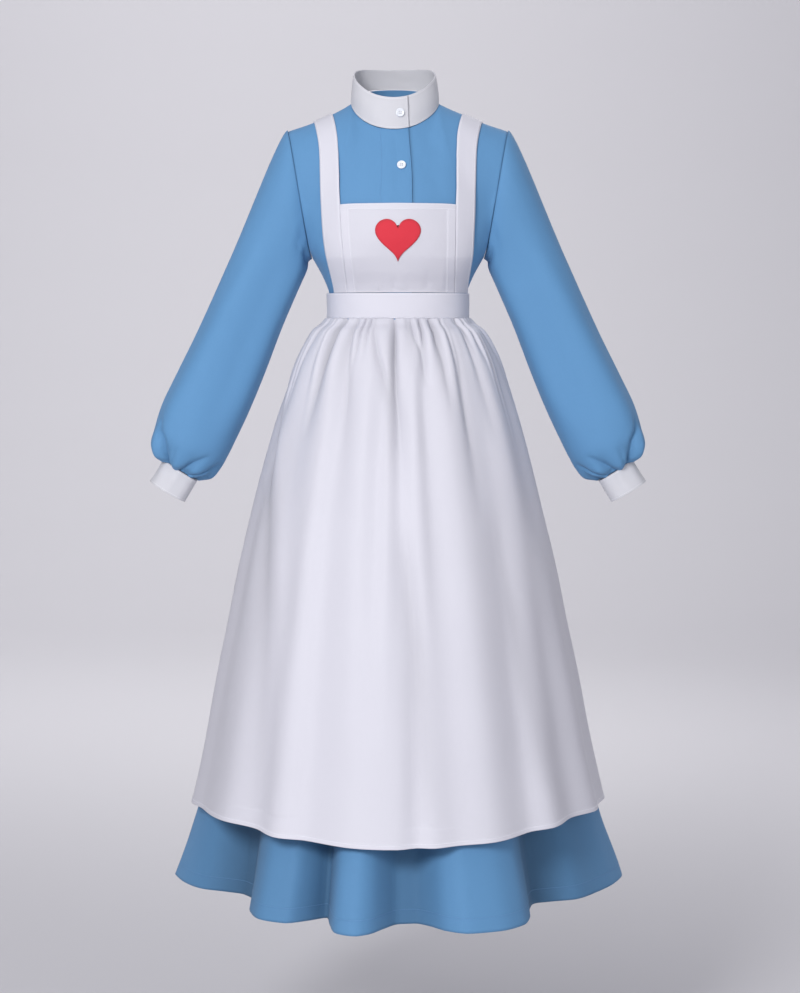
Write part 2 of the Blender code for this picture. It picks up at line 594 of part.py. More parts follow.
def bib(s, z):
    """The inside of the bib: s from -1 to 1 between the straps."""
    right, left = (along(INNER_LINES[side], z)[..., 0] - 0.4 for side in (-1, 1))
    return on_front((left - right) / 2 + s * (left + right) / 2, z, ON_DRESS)


def build_bib():
    shell("apron_bib", lambda c, r: bib(picked(BIB_S, c), picked(BIB_ROWS, r)), len(BIB_S) - 1,
          len(BIB_ROWS) - 1, APRON_CLOTH, apron, back_off=(0, 0, 1, 0))


HEART_WIDE, HEART_Z, HEART_CLOTH = 36.5, -231.0, 0.8


def heart_line(t):
    """Outline of the patch: t from 0 to 1 round it, as x and height in shares of its half width."""
    a = 2 * np.pi * t
    x = np.sin(a) ** 3
    y = (13 * np.cos(a) - 5 * np.cos(2 * a) - 2 * np.cos(3 * a) - np.cos(4 * a)) / 16
    return x, y + 0.12


def build_heart():
    """Rings from the outline to the middle, laid on the bib's outer face."""
    cols, rows = 28, 2

    def wall(c, r):
        x, y = heart_line(1 - c / cols)
        size = 1 - 0.96 * r / rows
        x, z = x * size * HEART_WIDE, HEART_Z + y * size * HEART_WIDE
        return on_front(x, z, ON_DRESS + APRON_CLOTH + 0.65)

    obj = shell("apron_heart", wall, cols, rows, HEART_CLOTH, red, closed=True, back_off=(0, 0, 0, 0))
    bm = bmesh.new()
    bm.from_mesh(obj.data)
    middle = [e for e in bm.edges if e.is_boundary and max(v.co.z for v in e.verts) < -0.2
              and min(v.co.z for v in e.verts) > -0.26 and max(abs(v.co.x) for v in e.verts) < 0.003]
    bmesh.ops.contextual_create(bm, geom=middle)
    bm.to_mesh(obj.data)
    bm.free()


# Angle from the front, half width, front depth, back depth of the waistband's inside: the waist moved out
BAND_FROM, BAND_TO, BAND_COLS = 174.0, 534.0 + 14.0, 66


def band(angle, h):
    """The inside of the waistband; its end laps over its start at the back."""
    z = BAND_BOTTOM + (BAND_EDGE - BAND_BOTTOM) * h
    lift = (DOUBLE_CLOTH + 0.45) * ease((angle - 506) / 24)
    row = ring(((-341, 114.5, 88, 84, 0.91), (-340, 114.5, 88, 84, 0.91)), angle % 360, 0 * z - 340,
               ON_DRESS + lift)
    row[..., 2] = z
    return row


def build_band():
    shell("apron_waistband", lambda c, r: band(BAND_FROM + (BAND_TO - BAND_FROM) * c / BAND_COLS, r),
          BAND_COLS, 1, DOUBLE_CLOTH, apron, back_off=(0, 0, 0, 0))


APRON_Z = (-362.1, -371, -383, -403, -435, -480, -545, -630, -730, -840, -950, -1070, -1188)
FINE_STRIPS = 5


def apron_skirt(angle, z):
    """The inside of the apron's skirt."""
    row = along(APRON, z)
    fold = (row[..., 4] * np.cos(2 * np.pi * GATHERS * (angle + APRON_HALF) / (2 * APRON_HALF))
            + row[..., 5] * along(HIGH_FOLDS, angle)[..., 0] + row[..., 6] * along(LOW_FOLDS, angle)[..., 0])
    return ring([r[:5] for r in APRON], angle, z, fold)


def build_apron_skirt():
    cols, rows = 2 * GATHERS, len(APRON_Z) - 1

    def wall(c, r):
        angle = -APRON_HALF + 2 * APRON_HALF * c / cols
        share = np.clip(1 - r, 0, 1)
        z = picked(APRON_Z[::-1], r)
        z = z + share * (along(APRON_HEM, angle)[..., 0] - APRON_Z[-1])
        return apron_skirt(angle, z)

    shell("apron_skirt", wall, cols, rows, APRON_CLOTH, apron,
          fine=lambda row: row > rows - FINE_STRIPS - 0.5, back_off=(0, 0, 0, 0))


BUTTON_R, BUTTON_THICK, HOLE_R, HOLE_OUT = 7.3, 2.6, 0.9, 2.1


def build_button(name, place, normal, stuff):
    """A turned button with a sunk middle and four holes, from a half section and four cutters."""
    section = ((0, 0), (5.4, 0), (BUTTON_R, 0.7), (BUTTON_R, BUTTON_THICK - 0.7),
               (BUTTON_R - 0.7, BUTTON_THICK), (4.6, BUTTON_THICK), (3.9, BUTTON_THICK - 0.8),
               (0, BUTTON_THICK - 0.8))
    bm = bmesh.new()
    line = [bm.verts.new((x * MM, 0, z * MM)) for x, z in section]
    edges = [bm.edges.new(pair) for pair in zip(line[:-1], line[1:])]
    bmesh.ops.spin(bm, geom=line + edges, cent=(0, 0, 0), axis=(0, 0, 1), angle=2 * np.pi, steps=12,
                   use_merge=True)
    bmesh.ops.remove_doubles(bm, verts=bm.verts, dist=1e-6)
    bmesh.ops.recalc_face_normals(bm, faces=bm.faces)
    mesh = bpy.data.meshes.new(name)
    bm.to_mesh(mesh)
    bm.free()
    obj = bpy.data.objects.new(name, mesh)
    home.objects.link(obj)
    mesh.materials.append(stuff)
    bm = bmesh.new()
    for i in range(4):
        made = bmesh.ops.create_cone(bm, cap_ends=True, segments=6, radius1=HOLE_R * MM,
                                     radius2=HOLE_R * MM, depth=8 * MM)
        turn = np.pi / 4 + i * np.pi / 2
        bmesh.ops.translate(bm, verts=made["verts"],
                            vec=(HOLE_OUT * MM * np.cos(turn), HOLE_OUT * MM * np.sin(turn), 0))
    tool = bpy.data.meshes.new(name + "_holes")
    bm.to_mesh(tool)
    bm.free()
    cutter = bpy.data.objects.new(name + "_holes", tool)
    cutters.objects.link(cutter)
    cut = obj.modifiers.new("holes", "BOOLEAN")
    cut.operation, cut.solver, cut.object = "DIFFERENCE", "EXACT", cutter
    obj.modifiers.new("triangles", "TRIANGULATE")
    place = lean(np.array(place, float))
    z = unit(np.array(normal, float))
    x = unit(np.cross((0, 0, 1), z))
    y = np.cross(z, x)
    for each in (obj, cutter):
        for v in each.data.vertices:
            v.co = (place * MM + x * v.co.x + y * v.co.y + z * v.co.z)


def facing(f, u, v, off, **limits):
    """A point off a surface and the direction in which the surface faces there."""
    u, v = np.array([u], float), np.array([v], float)
    low, high = outward(f, u, v, np.array([0.0]), **limits), outward(f, u, v, np.array([1.0]), **limits)
    normal = (high - low)[0]
    return low[0] + off * normal, normal


def build_buttons():
    v = (-112.0 - WAIST) / BODICE
    u = u_at(False, np.array([6.8]), np.array([v]))[0]
    place, normal = facing(lapped, u, v, DRESS_CLOTH + 0.75)
    build_button("button_chest", place, normal, pearl)
    place, normal = facing(collar, 368.0, 0.5, DOUBLE_CLOTH + 0.35, du=0.5, dv=0.02)
    build_button("button_collar", place, normal, pearl)
    place, normal = facing(band, 540.0, 0.5, DOUBLE_CLOTH + 0.35, du=0.5, dv=0.02)
    build_button("apron_button", place, normal, pearl)


for old in list(bpy.data.objects):
    bpy.data.objects.remove(old, do_unlink=True)
home = bpy.data.collections.new("nurse_uniform_dress")
cutters = bpy.data.collections.new("cutters")
bpy.context.scene.collection.children.link(home)
bpy.context.scene.collection.children.link(cutters)
cutters.hide_render = True

blue = material("dress_cloth", (0.155, 0.340, 0.620), 0.8)
white = material("trim_cloth", (0.78, 0.79, 0.82), 0.8)
apron = material("apron_cloth", (0.80, 0.80, 0.86), 0.75)
red = material("patch_cloth", (0.75, 0.05, 0.07), 0.8)
pearl = material("button_plastic", (0.80, 0.82, 0.85), 0.3)

build_bodice()
build_skirt()
build_collar()
build_sleeves()
build_cuffs()
build_straps()
build_bib()
build_heart()
build_band()
build_apron_skirt()
build_buttons()
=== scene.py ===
"""The looks of a nurse uniform dress: cloth with folds, seams, hems and stitching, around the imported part.

The long dress has a stand collar and bishop sleeves, and a pinafore apron lies over it, all in worn form
with no wearer. +X is the wearer's left side, -Y the front and +Z up, from the middle of the neck base.
Tables and surfaces are in millimetres, and cloth() and sew() make them metres.
"""

import math

import bmesh
import bpy
import numpy as np
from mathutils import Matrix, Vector


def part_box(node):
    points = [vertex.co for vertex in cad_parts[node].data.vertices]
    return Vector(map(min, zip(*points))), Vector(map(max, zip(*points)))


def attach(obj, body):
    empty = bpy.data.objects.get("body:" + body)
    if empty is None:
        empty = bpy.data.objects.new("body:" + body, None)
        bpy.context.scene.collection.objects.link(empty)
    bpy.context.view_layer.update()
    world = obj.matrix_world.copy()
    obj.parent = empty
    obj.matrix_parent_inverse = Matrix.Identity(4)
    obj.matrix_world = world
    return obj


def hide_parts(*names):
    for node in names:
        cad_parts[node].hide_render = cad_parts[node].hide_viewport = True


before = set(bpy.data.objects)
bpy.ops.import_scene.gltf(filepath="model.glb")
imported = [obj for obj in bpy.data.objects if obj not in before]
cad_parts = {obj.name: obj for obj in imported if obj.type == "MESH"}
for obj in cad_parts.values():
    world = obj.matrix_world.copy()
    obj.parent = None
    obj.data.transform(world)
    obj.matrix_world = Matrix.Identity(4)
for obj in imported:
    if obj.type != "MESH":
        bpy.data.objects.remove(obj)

bl_info = {
    "name": "Nurse uniform dress",
    "version": (1, 0, 0),
    "blender": (4, 5, 0),
    "location": "3D View > Sidebar > Dress",
    "description": "Builds the cloth of a nurse uniform dress around its packed part",
    "category": "Object",
}

MM = 0.001
DRESS_CLOTH = 1.5
APRON_CLOTH = 1.2
DOUBLE_CLOTH = 2.2
LAP = DOUBLE_CLOTH + 0.45  # height of a lapped end over what it covers
ON_DRESS = 4.2  # from the inside of the dress to the inside of the apron, over the lapped front
AT_SHOULDER = 2.6  # the same at the shoulder, where nothing laps

WAIST, BAND_TOP, BAND_BOTTOM, HEM = -340.0, -318.0, -361.0, -1318.0
HIPS = -380.0  # from here the folds of the dress grow to its hem
BAND_EDGE = BAND_TOP - 1.2  # the bib and straps lean out over the band, so it ends a little lower
BODICE = 290.0  # height at the side of the neck
ARMPIT = 81 / BODICE

# Neck base: half width, depth at the front and the back
NECK_WIDE, NECK_FRONT, NECK_BACK = 72.0, 65.0, 60.0
NECK_SHIFT = 7.0  # the neck leans to the wearer's right
LEAN_FROM, LEAN_WIDE = -140, 130  # the height at which that begins, and how far to each side it goes
NECK_SHARE = 0.44  # of the top edge from the centre to the shoulder tip

# x, z of the shoulder seam
SHOULDER = ((72, -1.5), (92, -12), (112, -21), (144, -34.5), (185, -48))

# z, x of the side seam
SIDE = ((-340, 114.5), (-326, 114.6), (-316, 115.5), (-307, 118.5), (-290, 126), (-259, 143))

# x, y, z of the armhole from the armpit to the shoulder tip
ARMHOLE_FRONT = (
    (143, 0, -259), (144, -20, -256), (147, -35, -245), (152, -49, -220), (158, -57, -188), (165, -59, -150),
    (171, -55, -115), (176, -45, -87), (180, -31, -67.5), (183.5, -14, -53.5), (185, 4, -48))
ARMHOLE_BACK = (
    (143, 0, -259), (144, 19, -257), (148, 34, -246), (154, 46, -220), (161, 52, -188), (168, 55, -150),
    (174, 52, -115), (178, 44, -87), (181, 33, -67.5), (184, 19, -53.5), (185, 4, -48))

# z, y of the centre front and the centre back
CENTRE_FRONT = (
    (-340, -88), (-317, -88.2), (-303, -93.5), (-280, -107), (-252, -118), (-228, -122), (-192, -119),
    (-150, -107), (-110, -90.5), (-75, -74.5), (-50, -65))
CENTRE_BACK = (
    (-340, 84), (-322, 84.5), (-300, 88), (-259, 95), (-200, 102), (-150, 104), (-100, 99), (-50, 85),
    (0, 68), (27, 60))

# Height share v, power of sine and cosine across the bodice
ROUND = ((0, 0.91), (0.1, 0.9), (0.2755, 0.8), (1, 0.8))

# Across share u, direction in which the cloth arrives at the top edge
ARRIVE_FRONT = (
    (0, 0, 75, 190), (0.22, 2, 120, 160), (0.44, 0, 210, 50), (0.7, 0, 225, 22), (1, 8, 200, 10))
ARRIVE_BACK = (
    (0, 0, -75, 215), (0.22, 2, -125, 185), (0.44, 0, -210, 70), (0.7, 0, -225, 30), (1, 8, -200, 15))

# z, half width, front depth, back depth, power of sine and cosine: the dress skirt's crests
DRESS = (
    (-340, 114.5, 88, 84, 0.91), (-361, 115.5, 89.5, 86, 0.91), (-375, 121, 95, 92, 0.92),
    (-400, 138, 110, 106, 0.94), (-430, 155, 125, 121, 0.96), (-470, 172, 142, 138, 0.98),
    (-520, 190, 163, 160, 1), (-600, 213, 191, 188, 1), (-700, 240, 225, 221, 1), (-800, 263, 256, 249, 1),
    (-900, 284, 284, 276, 1), (-1000, 304, 308, 302, 1), (-1100, 324, 333, 326, 1),
    (-1188, 342, 353, 346, 1), (-1318, 387, 408, 392, 1))

# z, half width, front depth, back depth, power, depth of the high folds and of the low ones: the apron
APRON = (
    (-361, 119.9, 93.4, 89.4, 0.91, 0, 0), (-371, 127, 101, 96.5, 0.92, 0, 0),
    (-381, 140, 112, 107.5, 0.93, 0, 0), (-400, 153, 124, 119, 0.94, 1, 0),
    (-437, 172, 142, 136, 0.96, 2.5, 0), (-468, 183, 154.5, 149, 0.98, 3.5, 0),
    (-520, 200, 175, 169, 1, 4.5, 0), (-604, 223.5, 204, 198, 1, 5, 0), (-700, 248, 235, 227, 1, 4.5, 1.5),
    (-790, 268, 263, 252, 1, 3.5, 3.5), (-900, 291, 293, 282, 1, 2, 5), (-1000, 311, 319, 309, 1, 1, 6.5),
    (-1100, 330, 345, 334, 1, 0, 7.5), (-1200, 354, 373, 357, 1, 0, 8.5))

# Degrees from the front towards the wearer's left, share of the crest's depth: the dress hem
HEM_FOLDS = (
    (-90, 0.992), (-81, 0.95), (-74, 0.9), (-68, 0.81), (-62, 0.75), (-57, 0.745), (-50, 0.81), (-44, 0.88),
    (-36, 0.94), (-30, 0.93), (-26, 0.855), (-22, 0.78), (-18.5, 0.87), (-14, 1), (-10, 1.02), (-7, 0.985),
    (-4, 0.9), (0, 0.825), (5, 0.82), (9, 0.87), (12, 0.95), (17, 1.015), (24, 1.02), (31, 0.985), (37, 0.9),
    (43, 0.8), (49, 0.755), (55, 0.8), (61, 0.87), (70, 0.91), (81, 0.965), (91, 1), (99, 0.985),
    (106, 0.93), (112, 0.83), (118, 0.75), (124, 0.75), (130, 0.84), (136, 0.93), (143, 0.97), (149, 0.94),
    (155, 0.85), (161, 0.77), (167, 0.77), (173, 0.86), (179, 0.95), (186, 0.985), (192, 0.95), (198, 0.86),
    (204, 0.76), (210, 0.77), (217, 0.87), (224, 0.95), (231, 0.975), (238, 0.93), (245, 0.83), (251, 0.77),
    (257, 0.84), (263, 0.94), (270, 0.992))

# Degrees, share of the depth of the apron's folds: above, and at its hem
HIGH_FOLDS = (
    (-150, 0), (-140, 0.6), (-128, -0.7), (-114, 0.8), (-100, -0.7), (-86, 0.6), (-74, -0.5), (-64, 0.6),
    (-51, -1), (-35, 1), (-28, -0.9), (-15, 0.9), (-8, -0.6), (-4, 0.4), (0.7, -1.3), (7.6, 0.7), (13, -0.9),
    (24, 1), (42, -1), (55, 0.8), (68, -0.6), (80, 0.6), (92, -0.6), (106, 0.8), (120, -0.8), (136, 0.7),
    (150, 0))
LOW_FOLDS = (
    (-150, 0), (-138, 0.8), (-124, -0.8), (-108, 0.7), (-95, -0.4), (-84, 0.5), (-73, -0.6), (-54, 0.9),
    (-42, -1), (-33, 0.9), (-25, -0.8), (-10, 0.8), (0, 0.5), (5, -0.7), (9.5, 0.4), (15.6, -0.2), (25, 1),
    (38, -0.9), (45, 0.8), (56.5, -1), (68, 0.6), (78, -0.5), (88, 0.5), (100, -0.5), (112, 0.8),
    (126, -0.9), (139, 0.8), (150, 0))
GATHERS, APRON_HALF = 30, 150.0  # gathers across the apron's skirt, degrees from its front to each end

# Degrees, z of the apron's hem
APRON_HEM = (
    (-150, -1180), (-90, -1184), (-55, -1176), (-30, -1184), (0, -1190), (30, -1184), (55, -1176),
    (90, -1180), (150, -1180))

# Share of the sleeve, x and z of its outer line, x and z of its inner line, half depth, y of the middle
SLEEVE = (
    (0.3, 281.5, -262, 171, -316, 57, -4), (0.4, 311.5, -326, 198, -378, 58, -7),
    (0.52, 343.5, -394, 226, -450, 59, -11), (0.64, 374.5, -456, 251, -511, 61, -16),
    (0.76, 401, -511, 275, -564, 63, -21), (0.84, 411.5, -545, 289, -592, 62, -24),
    (0.9, 416, -567, 303, -613, 55, -27), (0.95, 410, -584, 318, -625, 44, -29),
    (0.975, 400, -591.5, 333, -627.5, 33, -30), (1, 392.5, -597, 341, -631, 28, -31))
SLEEVE_FREE = 0.30  # from here the sleeve no longer follows the armhole
CUFF = ((0, 393.1, -599.3, 341.6, -633.3, 28, -31), (1, 416, -636, 362, -668, 29.5, -38))

# v, x of the strap's inner and outer edge, at the front and the back
STRAP_FRONT = (
    (0, 84, 107), (0.075, 85.5, 108), (0.3, 90, 119.5), (0.53, 94, 126), (0.75, 98, 130), (0.9, 105, 137),
    (1, 110, 142))
STRAP_BACK = (
    (0, 46, 77), (0.075, 48, 79), (0.3, 60, 92), (0.6, 80, 112), (0.85, 100, 132), (1, 110, 142))
STRAP_SKEW = 5.0  # both straps stand this far to the wearer's left at the waist
BIB_TOP = -174.0
LAP_RIGHT, LAP_LEFT = 23.0, -8.0  # x of the two front edges


def along(table, t):
    """The other columns of a table at t, with a smooth line through its rows that doesn't overshoot."""
    rows = np.array(sorted(table, key=lambda row: row[0]), float)
    x, y = rows[:, 0], rows[:, 1:]
    h = np.diff(x)[:, None]
    d = np.diff(y, axis=0) / h
    m = np.vstack([d[:1], np.zeros_like(d[1:]), d[-1:]])
    same = d[:-1] * d[1:] > 0
    a, b = 2 * h[1:] + h[:-1], h[1:] + 2 * h[:-1]
    m[1:-1] = np.where(same, (a + b) / (a / np.where(same, d[:-1], 1) + b / np.where(same, d[1:], 1)), 0)
    t = np.clip(np.asarray(t, float), x[0], x[-1])
    i = np.clip(np.searchsorted(x, t, side="right") - 1, 0, len(x) - 2)
    s, h = ((t - x[i]) / h[i, 0])[..., None], h[i]
    return ((1 + 2 * s) * (1 - s) ** 2 * y[i] + s * (1 - s) ** 2 * h * m[i]
            + s * s * (3 - 2 * s) * y[i + 1] + s * s * (s - 1) * h * m[i + 1])


def by_length(points, start=0.0, end=1.0):
    """Points with a first column that runs from start to end with their chord length."""
    points = np.array(points, float)
    run = np.append(0, np.cumsum(np.linalg.norm(np.diff(points, axis=0), axis=1)))
    return np.column_stack([start + (end - start) * run / run[-1], points])


def ease(t):
    t = np.clip(t, 0, 1)
    return t * t * (3 - 2 * t)


def hermite(p, dp, q, dq, s):
    return ((1 + 2 * s) * (1 - s) ** 2 * p + s * (1 - s) ** 2 * dp
            + s * s * (3 - 2 * s) * q + s * s * (s - 1) * dq)


def xyz(x, y, z):
    """Points from their coordinates, each of which is an array or a number."""
    return np.stack(np.broadcast_arrays(x, y, z), -1)


def sin_cos(degrees):
    return np.sin(np.radians(degrees)), np.cos(np.radians(degrees))


def value(table, t):
    """The second column of a table at t."""
    return along(table, t)[..., 0]


def unit(v):
    return v / np.maximum(np.linalg.norm(v, axis=-1, keepdims=True), 1e-9)


def neck_ring(t):
    """The neck base at an angle of t degrees from the front."""
    s, c = sin_cos(t)
    y = np.where(c > 0, -NECK_FRONT * c, -NECK_BACK * c)
    return xyz(NECK_WIDE * s, y, -6.5 - 38.5 * c - 5 * np.cos(2 * np.radians(t)))


def top_edge(back, u):
    """Neckline and shoulder seam, from the centre at 0 to the shoulder tip at 1."""
    t = np.clip(u / NECK_SHARE, 0, 1) * 90
    seam = by_length(SHOULDER)
    xz = along(seam, (u - NECK_SHARE) / (1 - NECK_SHARE))
    at = np.clip((u - NECK_SHARE) / (1 - NECK_SHARE), 0, 1)
    shoulder = xyz(xz[..., 0], 4 * at, xz[..., 1])
    return np.where((u < NECK_SHARE)[..., None], neck_ring(180 - t if back else t), shoulder)


def side_edge(back, v):
    """Side seam and armhole."""
    z = WAIST + BODICE * np.minimum(v, ARMPIT)
    seam = xyz(value(SIDE, z), 0, z)
    arm = along(by_length(ARMHOLE_BACK if back else ARMHOLE_FRONT, ARMPIT, 1), v)
    return np.where((v < ARMPIT)[..., None], seam, arm)


def centre_edge(back, v):
    z = WAIST + BODICE * v
    if back:
        z = np.where(v < ARMPIT, z, -259 + 286 * (v - ARMPIT) / (1 - ARMPIT))
    return xyz(0, value(CENTRE_BACK if back else CENTRE_FRONT, z), z)


def level(back, u, v):
    """A level line across the bodice, for u from 0 to 1."""
    side, mid, p = side_edge(back, v), centre_edge(back, v), value(ROUND, v)
    s, c = np.sin(u * np.pi / 2) ** p, np.maximum(np.cos(u * np.pi / 2), 0) ** p
    return xyz(side[..., 0] * s, side[..., 1] + (mid[..., 1] - side[..., 1]) * c,
               mid[..., 2] + (side[..., 2] - mid[..., 2]) * u * u)


def soft_top(back, u):
    """The top edge with its corner at the side of the neck rounded off."""
    total, weights = 0.0, 0.0
    for step in np.linspace(-2, 2, 9):
        w = u + 0.09 * step
        p = top_edge(back, np.abs(w)) * xyz(np.sign(w) + (w == 0), 1, 1)
        weight = np.exp(-step * step / 2)
        total, weights = total + weight * p, weights + weight
    return total / weights


def half_torso(back, u, v):
    start, h = np.full_like(v, ARMPIT), 0.02
    s = np.clip((v - ARMPIT) / (1 - ARMPIT), 0, 1)[..., None]

    def column(w):
        """From the armpit's level up to the top edge, leaving upward and arriving over the shoulder."""
        p = level(back, w, start)
        rise = (p - level(back, w, start - h)) / h
        leave = xyz(0.35 * rise[..., 0], 0.1 * rise[..., 1], 250 if back else 225)
        top = soft_top(back, w)
        smooth = hermite(p, leave, top, along(ARRIVE_BACK if back else ARRIVE_FRONT, w), s)
        return smooth + (top_edge(back, w) - top) * s ** 5

    high = column(u)
    high = high + (u ** 4)[..., None] * (side_edge(back, v) - column(np.ones_like(u)))
    high = high + ((1 - u) ** 3)[..., None] * (centre_edge(back, v) - column(np.zeros_like(u)))
    return np.where((v < ARMPIT)[..., None], level(back, u, v), high)


def torso(back, u, v):
    """The inside of the bodice: u from -1 at the wearer's right to 1 at the left, v from 0 at the waist."""
    u, v = np.broadcast_arrays(np.asarray(u, float), np.asarray(v, float))
    p = half_torso(back, np.minimum(np.abs(u), 1), np.clip(v, 0, 1))
    return p * xyz(np.where(u < 0, -1, 1), 1, 1)


def u_table(back, across=49, up=97):
    """For steps of the width's arcsine and of v, the u at which the bodice is that wide."""
    share, v = np.meshgrid(np.sin(np.linspace(0, np.pi / 2, across)), np.linspace(0, 1, up), indexing="ij")
    wide = share * side_edge(back, v)[..., 0]
    low, high = np.zeros_like(v), np.ones_like(v)
    for _ in range(22):  # each step halves the range
        mid = (low + high) / 2
        short = torso(back, mid, v)[..., 0] < wide
        low, high = np.where(short, mid, low), np.where(short, high, mid)
    return (low + high) / 2


def u_at(back, x, v):
    """The u at which the bodice is x from its middle, on the row v."""
    x, v = np.broadcast_arrays(np.asarray(x, float), np.clip(np.asarray(v, float), 0, 1))
    table = U_TABLES[back]
    share = np.clip(np.abs(x) / side_edge(back, v)[..., 0], 0, 1)
    i, j = np.arcsin(share) * 2 / np.pi * (table.shape[0] - 1), v * (table.shape[1] - 1)
    a, b = np.minimum(i.astype(int), table.shape[0] - 2), np.minimum(j.astype(int), table.shape[1] - 2)
    i, j = i - a, j - b
    return np.sign(x) * ((1 - i) * ((1 - j) * table[a, b] + j * table[a, b + 1])
                         + i * ((1 - j) * table[a + 1, b] + j * table[a + 1, b + 1]))


U_TABLES = {back: u_table(back) for back in (False, True)}


def ring(table, angle, z, extra=0.0):
    """A level ring of a table of half widths and depths, moved out by extra."""
    row = along(table, z)
    a, front, back, p = (row[..., i] for i in range(4))
    s, c = sin_cos(angle)
    x = (a + extra) * np.sign(s) * np.abs(s) ** p
    y = -(np.where(c > 0, front, back) + extra) * np.sign(c) * np.abs(c) ** p
    return xyz(x, y, z)


def lean(points):
    """Points near the neck, moved to the wearer's right."""
    x, z = points[..., 0], points[..., 2]
    shift = NECK_SHIFT * ease((z - LEAN_FROM) / 120) * ease((LEAN_WIDE - np.abs(x)) / 90)
    return xyz(x - shift, points[..., 1], z)


def picked(values, index):
    """Values between the whole numbers of an index, in straight lines."""
    return np.interp(index, np.arange(len(values)), values)


def hem_depth(angle):
    """Share of the crests' depth at the dress's hem."""
    return value(HEM_FOLDS, (angle + 90) % 360 - 90)


def below_hips(z):
    """0 down to the hips, then more and more, to 1 at the hem."""
    return np.clip((HIPS - z) / (HIPS - HEM), 0, 1)


def skirt(angle, z):
    """The inside of the dress skirt, with folds that grow to the hem."""
    share = 1 - (1 - hem_depth(angle)) * below_hips(z) ** 1.3
    return ring(DRESS, angle, z) * xyz(share, share, 1)


# Degrees or shares of a turn at which each lapped piece starts and ends
COLLAR_FROM, COLLAR_TO = -8.8, 379.2
CUFF_FROM, CUFF_TO = -0.62, 0.45
BAND_FROM, BAND_TO = 174.0, 548.0
COLLAR_LAP, BAND_LAP = 318, 506  # from here the end rises over what it covers


def collar(angle, h):
    """The inside of the collar at an angle and a share of its height; its last part laps over the first."""
    s, c = sin_cos(angle)
    base = neck_ring(angle % 360) + xyz(0, 0, 1.95 + 1.4 * s ** 4)
    top = xyz(67 * s, np.where(c > 0, -60 * c, -53 * c), 39.5 - 28 * c - 7.5 * np.cos(2 * np.radians(angle)))
    p = base + (top - base) * h[..., None]
    away = unit(xyz(s, -c, 0))
    bulge = 1.2 * np.sin(np.pi * np.clip(h, 0, 1)) + LAP * ease((angle - COLLAR_LAP) / 32)
    return p + away * bulge[..., None]


def armhole(share):
    """The armhole for a share of a turn: 0 at the shoulder tip, 0.25 at the front, 0.5 at the armpit."""
    front = along(by_length(ARMHOLE_FRONT), np.clip(1 - 2 * share, 0, 1))
    back = along(by_length(ARMHOLE_BACK), np.clip(2 * share - 1, 0, 1))
    return np.where((share < 0.5)[..., None], front, back)


def sleeve_ring(table, share, s):
    row = along(table, s)
    outer, inner, deep, mid = row[..., 0:2], row[..., 2:4], row[..., 4], row[..., 5]
    c, n = np.cos(2 * np.pi * share), np.sin(2 * np.pi * share)
    xz = (outer + inner) / 2 + c[..., None] * (outer - inner) / 2
    return xyz(xz[..., 0], mid - n * deep, xz[..., 1])


def sleeve(share, s, gather=0.0):
    """The inside of the left sleeve: a share of a turn from the top to the front, and of its length."""
    share, s = np.broadcast_arrays(np.asarray(share, float), np.asarray(s, float))
    share = share % 1
    c, n = np.cos(2 * np.pi * share), np.sin(2 * np.pi * share)
    up, down, side = np.maximum(c, 0), np.maximum(-c, 0), np.abs(n)

    def mix(top, under, front):
        return (up[..., None] * np.array(top, float) + down[..., None] * np.array(under, float)
                + side[..., None] * xyz(front[0], np.sign(n) * front[1], front[2]))

    rest = unit(mix((0.2, 0, 0.98), (1, 0, -0.12), (0.45, -0.89, 0)))
    start = armhole(share) + (2.1 + 0.9 * down[..., None]) * rest
    leave = mix((48, 0, -29), (30, 0, -22), (60, -42, -46))
    free = np.full_like(s, SLEEVE_FREE)
    end, step = sleeve_ring(SLEEVE, share, free), 0.02
    arrive = (sleeve_ring(SLEEVE, share, free + step) - end) / step * SLEEVE_FREE
    cap = hermite(start, leave, end, arrive, (s / SLEEVE_FREE)[..., None])
    p = np.where((s < SLEEVE_FREE)[..., None], cap, sleeve_ring(SLEEVE, share, s))
    row = along(SLEEVE, np.maximum(s, SLEEVE_FREE))
    middle = xyz((row[..., 0] + row[..., 2]) / 2, row[..., 5], (row[..., 1] + row[..., 3]) / 2)
    return p + unit(p - middle) * np.asarray(gather + 0 * s)[..., None]


def cuff_middle(h):
    return xyz(366.95 + 22.05 * h, -31 - 7 * h, -615.4 - 36.6 * h)


def cuff(turn, h):
    """The inside of the left cuff for a share of a turn; its last part laps over its first."""
    row = sleeve_ring(CUFF, turn % 1, h)
    return row + unit(row - cuff_middle(h)) * (LAP * ease((turn - CUFF_TO + 0.17) / 0.08))[..., None]


def strap_edges(side, v):
    """x of the front strap's inner and outer edge, on its own side."""
    return along(STRAP_FRONT, v) + side * STRAP_SKEW * ease((0.55 - np.asarray(v)) / 0.55)[..., None]


def strap(side, s, w):
    """Base of a strap: s from -1 at its inner edge to 1, w from 0 at the front band over to 2 at the back."""
    v = np.where(w < 1, w, 2 - w)
    back = w >= 1
    edges = np.where(back[..., None], along(STRAP_BACK, v), strap_edges(side, v))
    x = edges[..., 0] + (edges[..., 1] - edges[..., 0]) * (s + 1) / 2
    front_point = torso(False, u_at(False, x, v), v)
    back_point = torso(True, u_at(True, x, v), v)
    return np.where(back[..., None], back_point, front_point) * np.array([side, 1, 1])


def strap_off(w):
    """Height of the strap over the inside of the dress, less at the shoulder."""
    return AT_SHOULDER + (ON_DRESS - AT_SHOULDER) * ease((np.abs(w - 1) - 0.12) / 0.3)


